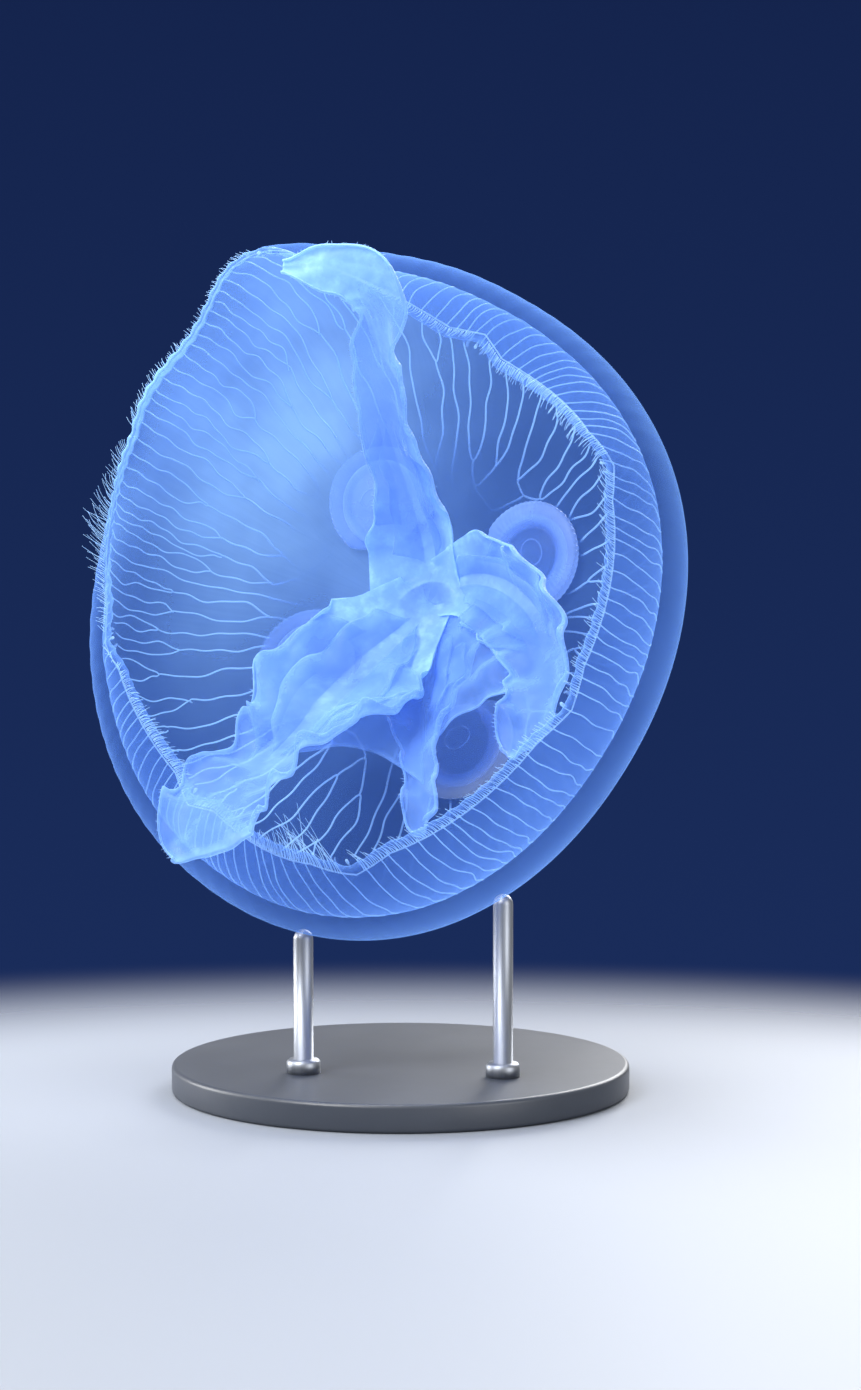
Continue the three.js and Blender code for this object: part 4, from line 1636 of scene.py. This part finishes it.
class ArmCourse:
    """The line that one mouth arm follows."""

    least_span = 1e-4

    def __init__(self, arm: OralArm, pose: BellPose, samples: int = 40) -> None:
        """Draws the line through the arm's points.

        Args:
            arm: The arm.
            pose: Where the bell hangs.
            samples: Points of the line between two points of the arm.
        """
        self.arm, self.mouthwards = arm, pose.mouthwards
        given = pose.point(*np.array(arm.path, dtype=float).T)
        points = np.vstack([2 * given[0] - given[1], given, 2 * given[-1] - given[-2]])
        f = np.linspace(0, 1, samples, endpoint=False)[:, None]
        drawn = []
        for before, start, end, after in zip(points, points[1:], points[2:], points[3:]):
            spans = ((before, start), (start, end), (end, after))
            d0, d1, d2 = (max(math.dist(*span) ** 0.5, self.least_span) for span in spans)
            leave = ((start - before) / d0 - (end - before) / (d0 + d1) + (end - start) / d1) * d1
            arrive = ((end - start) / d1 - (after - start) / (d1 + d2) + (after - end) / d2) * d1
            bend, twist = 3 * (end - start) - 2 * leave - arrive, 2 * (start - end) + leave + arrive
            drawn.append(start + f * (leave + f * (bend + f * twist)))
        self.line = np.vstack([*drawn, given[-1:]])
        self.steps = np.concatenate([[0], np.cumsum(np.linalg.norm(np.diff(self.line, axis=0), axis=1))])
        self.length = float(self.steps[-1])
        self.tangents = unit(np.gradient(self.line, self.steps, axis=0))
        self.bends = np.gradient(self.tangents, self.steps, axis=0)

    def taken(self, table: Array, t: Array) -> Array:
        """Takes a vector that is known along the line at places from 0 to 1."""
        return np.column_stack([np.interp(t * self.length, self.steps, table[:, k]) for k in range(3)])

    def bend(self, t: Array, sideways: Array) -> Array:
        """How sharply the line bends sideways, per millimetre."""
        return np.einsum("ij,ij->i", self.taken(self.bends, t), sideways)

    def frame(self, t: Array) -> tuple[Array, Array, Array]:
        """Finds the line's points, with the ribbon's facing and sideways directions there.

        Args:
            t: From 0 at the root to 1 at the tip.

        Returns:
            The points and the two directions, one in each row.
        """
        along = unit(self.taken(self.tangents, t))
        face = unit(self.mouthwards - (along @ self.mouthwards)[:, None] * along)
        roll = np.radians(along_the_way(self.arm.roll, t))[:, None]
        face = face * np.cos(roll) + np.cross(along, face) * np.sin(roll)
        return self.taken(self.line, t), face, np.cross(along, face)


@dataclass
class MouthAndArms:
    """The stalk of the mouth and the four frilled arms that hang from its corners, under one skin."""

    pose: BellPose
    crown_thickness: float = 13
    stalk_radius: float = 15
    stalk_waist: float = 11
    stalk_length: float = 21
    mouth_radius: float = 5.5
    mouth_depth: float = 5
    stalk_lean: float = 9
    stalk_corners: float = 0.16
    first_corner: float = 63
    stalk_around: int = 96
    stalk_foot: float = 0.4
    stalk_rows: int = 16
    lip_flare: float = 6
    lip_flares_from: float = 0.6
    lip_edge: float = 0.5
    mouth_narrows: float = 0.7
    across: int = 44
    along: int = 190
    rib_thickness: float = 1.6
    rib_width: float = 0.32
    edge_thickness: float = 0.7
    swell: float = 1.5
    swell_lengths: tuple[float, float, float] = (4.4, 4.2, 11.0)
    fine_frill: float = 0.15
    fine_length: float = 9.0
    calmest: float = 0.12
    scallop: float = 0.03
    scallop_length: float = 15
    starts_free: Band = (0.08, 0.12)
    tip_rounds: Band = (0.9, 0.1)
    hem_from: float = 0.88
    hem_radius: float = 1.0
    hem_curl: float = 150
    mouth_milk: float = 0.28
    stalk_milk: float = 0.2
    near_ribbon: float = 1.5
    hem_milk: float = 0.16
    hem_side: Band = (0.86, 0.12)
    hem_tip: Band = (0.965, 0.025)
    mouth_reach: float = 32
    fingers_apart: float = 1.3
    fingers_span: tuple[float, float] = (0.2, 0.98)
    finger_root: float = 0.97
    finger_length: tuple[float, float] = (0.4, 1.5)
    finger_lift: tuple[float, float] = (0.3, 0.5)
    finger_scatter: float = 0.3
    finger_bend: float = 0.3
    finger_steps: int = 4
    finger_radius: tuple[float, float] = (0.2, 0.1)
    finger_milk: tuple[float, float] = (0.7, 0.4)
    soften_reach: float = 22
    soften_rounds: int = 12
    veil_across: int = 16
    veil_along: int = 200
    veil_from: tuple[float, ...] = (0.06, 0.16)
    veil_root: tuple[float, ...] = (0.12, 0.42)
    veil_reach: tuple[float, ...] = (0.42, 0.46)
    veil_rise: float = 4.2
    veil_waves: tuple[float, float] = (5.2, 2.9)
    veil_fades: tuple[float, float] = (0.12, 0.3)
    veil_clear: float = 0.5
    veil_thinner: float = 0.8
    veil_drift: float = 0.7
    veil_milk: tuple[float, float] = (0.15, 0.5)
    veil_hem: float = 0.10
    veil_hem_from: Band = (0.84, 0.14)
    curtain_steps: int = 60
    curtain_start: float = 0.06
    curtain_folds: float = 2.2
    curtain_thins: float = 0.08
    curtain_hem: float = 0.12
    curtain_hem_from: Band = (0.95, 0.04)

    def __post_init__(self) -> None:
        """Starts the seeded draws and lays the arms' lines."""
        self.draws = np.random.default_rng(SEED + 3)
        self.courses = [ArmCourse(arm, self.pose) for arm in ARMS]

    def place(self, course: ArmCourse, across: Array, t: Array, through: Array) -> tuple[Array, Array]:
        """Places points of an arm. Its edges curl over into a hem.

        Args:
            course: The arm's line.
            across: From -1 at one edge to 1 at the other.
            t: From 0 at the root to 1 at the tip.
            through: From -0.5 on one face to 0.5 on the other.

        Returns:
            The points, and the sideways direction at each.
        """
        arm = course.arm
        at, face, sideways = course.frame(t)
        side, edge, run = np.sign(across), np.abs(across), t * course.length
        free = ramp(t, *self.starts_free)
        tip = np.sqrt(1 - ramp(t, *self.tip_rounds) ** 2 * arm.tip_narrows)
        whole = np.where(side > 0, along_the_way(arm.clockwise, t), along_the_way(arm.counter, t))
        calm = np.clip(1 - side * whole * course.bend(t, sideways), self.calmest, 1)
        scallops = np.sin(2 * math.pi * run / self.scallop_length + 2 * side)
        flap = whole * tip * (1 + self.scallop * free * calm * edge**2 * scallops)
        phase = 2 * math.pi * arm.frills * t + np.where(side > 0, 0, 2)
        fine = 2 * math.pi * run / self.fine_length + 0.7 * side
        down, over, drift = self.swell_lengths
        swell = np.sin(run / down + 2.2 * across) * np.sin(across * flap / over + run / drift + 1.3)
        hem = np.clip((edge - self.hem_from) / (1 - self.hem_from), 0, 1)
        turn = free * math.radians(self.hem_curl) * hem
        lift = (
            along_the_way(arm.fold, t) * (across**2 - 0.3)
            + along_the_way(arm.frill, t) * calm * edge**2 * np.sin(phase)
            + self.swell * free * calm * smooth(edge / 0.6) * swell
            + self.fine_frill * free * calm * edge**4 * np.sin(fine + 1.6 * np.sin(fine * 0.31))
            + self.hem_radius * (1 - np.cos(turn))
        )
        hemmed = np.where(turn > 0, self.hem_radius * np.sin(turn), 0)
        flat = np.where(free > 0, np.minimum(edge, self.hem_from + (1 - free)), edge)
        width = side * (flat * flap + hemmed)
        thick = between(self.edge_thickness, self.rib_thickness, bell_curve(across, self.rib_width))
        outwards = face * np.cos(turn)[:, None] - sideways * (side * np.sin(turn))[:, None]
        points = at + sideways * width[:, None] + face * lift[:, None] + outwards * (through * thick)[:, None]
        return points, sideways

    def ribbon(self, number: int) -> tuple[bpy.types.Mesh, Array]:
        """One arm as a closed ribbon, and how milky each of its vertices is.

        Args:
            number: Which arm.

        Returns:
            The ribbon and its milk.
        """
        mesh, u, v, w = bent_slab(f"arm_ribbon_{number}", self.across, self.along)
        course = self.courses[number]
        across = np.sin(math.pi / 2 * (2 * u - 1))
        points, _ = self.place(course, across, v, w - 0.5)
        hem = self.hem_milk * np.maximum(ramp(np.abs(across), *self.hem_side), ramp(v, *self.hem_tip))
        mouth = self.mouth_milk * bell_curve(v * course.length, self.mouth_reach)
        milk = along_the_way(course.arm.milk, v) + hem + mouth
        for at_t, at_across, reach_t, reach_across, more in course.arm.spots:
            away = ((v - at_t) / reach_t) ** 2 + ((across - at_across) / reach_across) ** 2
            milk = milk * (1 + more * np.exp(-(away**2)))
        settle(mesh, points)
        return mesh, milk

    def stalk(self) -> bpy.types.Mesh:
        """The four-cornered stalk, from the crown's inner surface to the lips of the mouth.

        Returns:
            The closed stalk.
        """
        long = self.stalk_length
        outline = [(0, self.stalk_foot), (self.stalk_radius, self.stalk_foot)]
        for share in np.linspace(0.04, 1, self.stalk_rows):
            waist = between(self.stalk_waist, self.stalk_radius, (1 - share) ** 3)
            outline.append((waist + max(0, share - self.lip_flares_from) ** 2 * self.lip_flare, long * share))
        outline += [
            (self.mouth_radius, long - self.lip_edge),
            (self.mouth_radius * self.mouth_narrows, long - self.mouth_depth),
            (0, long - self.mouth_depth),
        ]
        mesh = bent_lathe("mouth_and_arms", outline, self.stalk_around)
        co = coordinates(mesh)
        azimuth, radius = polar(co)
        share = co[:, 2] / long
        corner = 1 + self.stalk_corners * share * np.cos(np.radians(4 * (azimuth - self.first_corner)))
        points = self.pose.point(azimuth, radius * corner, self.crown_thickness + co[:, 2])
        settle(mesh, points + (self.stalk_lean * share)[:, None] * self.pose.axes[0])
        return mesh

    def joined(self, mesh: bpy.types.Mesh, ribbons: list[bpy.types.Mesh]) -> bpy.types.Mesh:
        """Makes one skin of the stalk and the arms.

        Args:
            mesh: The stalk.
            ribbons: The arms.

        Returns:
            The joined mesh.
        """
        objects = [placed(m.name, m) for m in (mesh, *ribbons)]
        for ribbon in objects[1:]:
            modifier = objects[0].modifiers.new(ribbon.name, "BOOLEAN")
            modifier.operation, modifier.solver, modifier.object = "UNION", "MANIFOLD", ribbon
        drawn = objects[0].evaluated_get(bpy.context.evaluated_depsgraph_get())
        whole = bpy.data.meshes.new_from_object(drawn)
        for piece in objects:
            bpy.data.objects.remove(piece)
        whole.name = "mouth_and_arms"
        return whole

    def soften(self, mesh: bpy.types.Mesh) -> None:
        """Blends the folds into each other round the mouth.

        Args:
            mesh: The skin of the stalk and the arms, changed in place.
        """
        mouth = self.pose.point(0, 0, self.crown_thickness + self.stalk_length)
        mouth = mouth + self.stalk_lean * self.pose.axes[0]
        bm = bmesh.new()
        bm.from_mesh(mesh)
        near = [v for v in bm.verts if (v.co - Vector(mouth * MM)).length < self.soften_reach * MM]
        every_axis = {f"use_axis_{axis}": True for axis in "xyz"}
        for _ in range(self.soften_rounds):
            bmesh.ops.smooth_vert(bm, verts=near, factor=0.5, **every_axis)
        bm.to_mesh(mesh)
        bm.free()

    def veil(self, number: int, side: int, layer: int) -> bpy.types.Mesh:
        """One of the thin frilled lips that stand up along an arm's gutter.

        Args:
            number: Which arm.
            side: -1 or 1, the flap that it leans over.
            layer: 0 for the one near the midrib, 1 for the one farther out.

        Returns:
            The lip as a closed slab.
        """
        name = f"arm_lip_{number + 1}_{'left' if side < 0 else 'right'}_{layer + 1}"
        mesh, u, v, w = bent_slab(name, self.veil_across, self.veil_along)
        course = self.courses[number]
        t = between(self.veil_from[layer], course.arm.lips_end, v)
        root, out = self.veil_root[layer], self.veil_reach[layer]
        phase = 2.3 * number + 1.7 * side + 0.9 * layer
        fade = smooth(np.minimum(v / self.veil_fades[0], (1 - v) / self.veil_fades[1]))
        across = side * (root + out * u**1.2 * fade)
        at, sideways = self.place(course, across, t, np.zeros(len(t)))
        run = t * course.length
        long, short = self.veil_waves
        ruffle = np.sin(run / long + phase) + 0.35 * np.sin(run / short + 2 * phase + 1.5 * u)
        face = course.frame(t)[1]
        rise = self.veil_rise * fade * (np.sin(math.pi * 0.62 * u) + 0.45 * u * ruffle)
        drift = self.veil_drift * fade * u * np.sin(run / short * 0.8 + phase)
        lift = self.veil_clear + rise + self.edge_thickness * self.veil_thinner * (w - 0.5)
        hem = self.veil_hem * ramp(u, *self.veil_hem_from) * fade
        low, more = self.veil_milk
        mark(mesh, "milk", along_the_way(course.arm.milk, t) * (low + more * fade * u) + hem)
        settle(mesh, at + face * lift[:, None] + sideways * (side * drift)[:, None])
        return mesh

    def curtain(self, name: str, plan: Curtain) -> bpy.types.Mesh:
        """One of the thin milky skins that hang beside the mouth, from arm to arm.

        Args:
            name: Its name.
            plan: Between which arms it hangs, and how far down.

        Returns:
            The closed skin.
        """
        mesh, u, v, w = bent_slab(name, self.curtain_steps, self.curtain_steps)
        down = v * (1 - plan.arch * np.sin(math.pi * u))
        near, far = (
            self.place(
                self.courses[arm],
                np.full(len(u), across),
                between(self.curtain_start, end, down),
                np.zeros(len(u)),
            )[0]
            for arm, across, end in (plan.near, plan.far)
        )
        folds = self.curtain_folds * down * np.sin(math.pi * u) * np.sin(5 * math.pi * u + 2.5 * v)
        lift = folds + self.edge_thickness * (w - 0.5)
        hem = self.curtain_hem * ramp(v, *self.curtain_hem_from)
        mark(mesh, "milk", plan.milk - self.curtain_thins * v + hem)
        settle(mesh, between(near, far, u[:, None]) + self.pose.mouthwards * lift[:, None])
        return mesh

    def finger(self, number: int, side: int, t: float) -> Strand:
        """A tiny finger on an arm's edge.

        Args:
            number: Which arm.
            side: -1 or 1, the flap whose edge it is on.
            t: How far along the arm.

        Returns:
            The finger as a thread.
        """
        length = self.draws.uniform(*self.finger_length)
        place = np.array([side * self.finger_root])
        root, sideways = self.place(self.courses[number], place, np.array([t]), np.zeros(1))
        lifted = self.draws.normal(*self.finger_lift) * self.pose.mouthwards
        out = unit(side * sideways[0] + lifted + self.draws.normal(0, self.finger_scatter, 3))
        steps = np.linspace(0, 1, self.finger_steps)
        bend = self.finger_bend * length * self.draws.normal()
        route = root[0] + out * (length * steps)[:, None] + self.pose.mouthwards * (bend * steps**2)[:, None]
        thick, milk = between(*self.finger_radius, steps), between(*self.finger_milk, steps)
        return Strand(route, thick, milk, (0.1 + 0.2 * number, 0.5 + 0.4 * t))

    def build(self) -> None:
        """Builds the skin and the fingers on its edges, and puts them in the scene."""
        ribbons = [self.ribbon(number) for number in range(len(ARMS))]
        known = KDTree(sum(len(mesh.vertices) for mesh, _ in ribbons))
        milks: list[float] = []
        for mesh, milk in ribbons:
            for point, value in zip(coordinates(mesh), milk):
                known.insert(point, len(milks))
                milks.append(float(value))
        known.balance()
        skin = self.joined(self.stalk(), [mesh for mesh, _ in ribbons])
        own = []
        for point in coordinates(skin):
            _, index, far = known.find(point)
            own.append(milks[index] if far < self.near_ribbon * MM else self.stalk_milk + self.mouth_milk)
        mark(skin, "milk", np.array(own))
        settle(skin, coordinates(skin) / MM)
        self.soften(skin)
        nodes = [f"oral_arm_{n + 1}_{part}" for n in range(len(ARMS)) for part in ("base", "middle", "tip")]
        material = ARM_FLESH.build()
        show(skin, Slot.ARM, material, "manubrium", *nodes)
        for number in range(len(ARMS)):
            for side in (-1, 1):
                for layer in range(len(self.veil_from)):
                    show(self.veil(number, side, layer), Slot.ARM, material)
        for number, plan in enumerate(CURTAINS):
            show(self.curtain(f"arm_curtain_{number + 1}", plan), Slot.ARM, material)
        strands = []
        for number, course in enumerate(self.courses):
            for side in (-1, 1):
                for t in np.arange(*self.fingers_span, self.fingers_apart / course.length):
                    strands.append(self.finger(number, side, t))
        show(bundle("arm_fingers", strands, 3), Slot.ARM, MARGIN_FLESH.build())


@dataclass
class Stand:
    """The plain display stand: a round base and two short rods that meet the bell from below."""

    wall: BellWall
    base_radius: float = 82
    base_thickness: float = 10
    edge: float = 1.5
    rod_radius: float = 3.5
    rods: tuple[float, float] = (-34, 36)
    bite: float = 1.2
    collar_radius: float = 6
    collar_height: float = 5
    around: int = 128
    edge_steps: int = 4
    rod_around: int = 48
    collar_edge: float = 1
    rests_from: float = 0.42
    rod_end_steps: int = 8

    def base(self) -> bpy.types.Mesh:
        """The base: a turned disc with rounded edges.

        Returns:
            The closed disc, standing on the floor.
        """
        bm = bmesh.new()
        bmesh.ops.create_cone(
            bm,
            cap_ends=True,
            segments=self.around,
            radius1=self.base_radius * MM,
            radius2=self.base_radius * MM,
            depth=self.base_thickness * MM,
        )
        bmesh.ops.translate(bm, verts=bm.verts, vec=(0, 0, self.base_thickness * MM / 2))
        rims = [e for e in bm.edges if abs(e.verts[0].co.z - e.verts[1].co.z) < MERGE]
        bmesh.ops.bevel(
            bm,
            geom=rims,
            offset=self.edge * MM,
            segments=self.edge_steps,
            profile=0.5,
            affect="EDGES",
            material=-1,
        )
        for face in bm.faces:
            face.smooth = len(face.verts) == 4
        return finished(bm, "stand_base_disc")

    def rest(self, x: float) -> Array:
        """The lowest point of the bell's underside this far to the side.

        Args:
            x: Distance to the right of the base's centre.

        Returns:
            The point.
        """
        azimuth, reach = np.meshgrid(np.arange(180, 360, 1.0), np.arange(self.rests_from, 1, 0.01))
        points = self.wall.point(azimuth.ravel(), reach.ravel(), np.zeros(azimuth.size))
        near = points[np.abs(points[:, 0] - x) < self.rod_radius / 2]
        return near[np.argmin(near[:, 2])]

    def rod(self, name: str, x: float) -> bpy.types.Mesh:
        """A rod with a collar at its foot and a rounded end under the bell.

        Args:
            name: Its name.
            x: Its distance to the right of the base's centre.

        Returns:
            The closed rod.
        """
        rest = self.rest(x)
        foot, top = self.base_thickness, rest[2] + self.bite
        r, c, h, cut = self.rod_radius, self.collar_radius, foot + self.collar_height, self.collar_edge
        outline = [(0, foot), (c, foot), (c, h - cut), (c - cut, h), (r, h)]
        quarter = np.linspace(0, math.pi / 2, self.rod_end_steps)
        outline += [(r * math.cos(a), top - r + r * math.sin(a)) for a in quarter]
        mesh = bent_lathe(name, outline, self.rod_around)
        settle(mesh, coordinates(mesh) + np.array([x, rest[1], 0]))
        return mesh

    def build(self) -> None:
        """Builds the stand and puts it in the scene."""
        show(self.base(), Slot.PAINT, SatinPaint().build(), "stand_base")
        steel = BrushedSteel().build()
        for side, x in zip(("left", "right"), self.rods):
            show(self.rod(f"stand_rod_{side}_turned", x), Slot.STEEL, steel, f"stand_rod_{side}")


# ---- The studio ----


@dataclass(frozen=True)
class SoftLight:
    """A soft square light.

    Attributes:
        name: The light's name.
        place: Where it hangs, in metres.
        size: Its side, in metres.
        power: In watts.
        colour: Its colour.
    """

    name: str
    place: tuple[float, float, float]
    size: float
    power: float
    colour: Colour = (1.0, 1.0, 1.0)


@dataclass
class Studio:
    """The floor, the lights, the backdrop and the camera."""

    camera_place: tuple[float, float, float] = BellPose.eye
    gaze_drop: float = BellPose.gaze_drop
    lens: float = 85
    sensor_width: float = 36
    clip: tuple[float, float] = (0.01, 50)
    floor_centre: tuple[float, float] = (0.0, -0.25)
    floor_shown: tuple[float, float] = (0.32, 0.57)
    floor_colour: Colour = (0.20, 0.22, 0.26)
    floor_roughness: float = 0.6
    floor_around: int = 96
    backdrop_high: Colour = (0.006, 0.014, 0.060)
    backdrop_low: Colour = (0.012, 0.030, 0.120)
    backdrop_blend: tuple[float, float] = (-0.35, 0.3)
    soft_fill: float = 0.35
    see_through: int = 48
    bounces: int = 4
    soft_bounces: int = 2
    aim: tuple[float, float, float] = (-0.01, 0.0, 0.18)
    lights: tuple[SoftLight, ...] = (
        SoftLight("key_light", (-0.70, -0.70, 1.00), 0.6, 26),
        SoftLight("top_light", (-0.15, 0.10, 1.20), 0.7, 18),
        SoftLight("back_light", (0.45, 0.95, 0.65), 0.6, 14),
        SoftLight("side_light", (-0.95, 0.30, 0.35), 0.5, 10),
        SoftLight("fill_light", (0.85, -0.85, 0.35), 0.7, 7),
    )

    def floor(self) -> None:
        """Lays a plain pale floor that fades out at its edge."""
        bm = bmesh.new()
        bmesh.ops.create_circle(bm, cap_ends=True, segments=self.floor_around, radius=self.floor_shown[1])
        bmesh.ops.translate(bm, verts=bm.verts, vec=(*self.floor_centre, 0))
        mesh = finished(bm, "floor")
        tree = ShaderTree.named("plain_floor")
        place = tree.node("TexCoord").outputs["Object"]
        middle = (*self.floor_centre, 0)
        away = tree.node("VectorMath", {0: place, 1: middle}, operation="DISTANCE").outputs["Value"]
        near, far = self.floor_shown
        fading = {0: away, 1: near, 2: far, 3: 1.0, 4: 0.0}
        shown = tree.node("MapRange", fading, interpolation_type="SMOOTHERSTEP").outputs[0]
        matt = {"Base Color": (*self.floor_colour, 1), "Roughness": self.floor_roughness}
        paint = tree.node("BsdfPrincipled", matt)
        mesh.materials.append(tree.finish(tree.blend(shown, tree.node("BsdfTransparent"), paint)))
        placed("floor", mesh)

    def backdrop(self) -> None:
        """Sets a plain deep backdrop, and a soft even light for everything else."""
        world = bpy.data.worlds.new("backdrop")
        bpy.context.scene.world = world
        tree = ShaderTree(world)
        height = tree.node("SeparateXYZ", {0: tree.node("TexCoord").outputs["Generated"]}).outputs["Z"]
        low, high = self.backdrop_blend
        share = tree.node("MapRange", {0: height, 1: low, 2: high}).outputs[0]
        seen = tree.mix(share, self.backdrop_low, self.backdrop_high)
        by_eye = tree.node("LightPath").outputs["Is Camera Ray"]
        sky = tree.node("Background", {0: tree.mix(by_eye, (self.soft_fill,) * 3, seen)})
        tree.node("OutputWorld", {0: sky.outputs[0]})

    def light(self, plan: SoftLight) -> None:
        """Hangs one light, turned to the model.

        Args:
            plan: Its place, size, power and colour.
        """
        lamp = bpy.data.lights.new(plan.name, "AREA")
        lamp.size, lamp.energy, lamp.color = plan.size, plan.power, plan.colour
        hung = placed(plan.name, lamp)
        hung.location = plan.place
        hung.rotation_euler = (Vector(self.aim) - Vector(plan.place)).to_track_quat("-Z", "Y").to_euler()
        hung.visible_camera = False

    def camera(self) -> None:
        """Sets the camera, looking slightly down along +Y."""
        lens = bpy.data.cameras.new("camera")
        lens.lens = self.lens
        lens.sensor_width = self.sensor_width
        lens.clip_start, lens.clip_end = self.clip
        eye = placed("camera", lens)
        eye.location = Vector(self.camera_place) * MM
        eye.rotation_euler = (math.radians(90 - self.gaze_drop), 0, 0)
        bpy.context.scene.camera = eye

    def build(self) -> None:
        """Sets up the whole studio."""
        scene = bpy.context.scene
        scene.view_settings.view_transform = "Standard"
        scene.cycles.transparent_max_bounces = self.see_through
        scene.cycles.max_bounces = self.bounces
        scene.cycles.diffuse_bounces = self.soft_bounces
        scene.cycles.glossy_bounces = self.soft_bounces
        self.floor()
        self.backdrop()
        for plan in self.lights:
            self.light(plan)
        self.camera()
        LOG.info("studio: %d lights", len(self.lights))


def main() -> None:
    """Builds the studio and every sub-assembly in turn."""
    logging.basicConfig(level=logging.INFO, format="%(name)s %(message)s")
    Studio().build()
    wall = BellWall()
    BellSkin(wall).build()
    gonads = Gonads(wall)
    CanalNetwork(wall, gonads).build()
    Margin(wall).build()
    SenseOrgans(wall).build()
    gonads.build()
    MouthAndArms(wall.pose).build()
    Stand(wall).build()


if __name__ == "__main__":
    main()
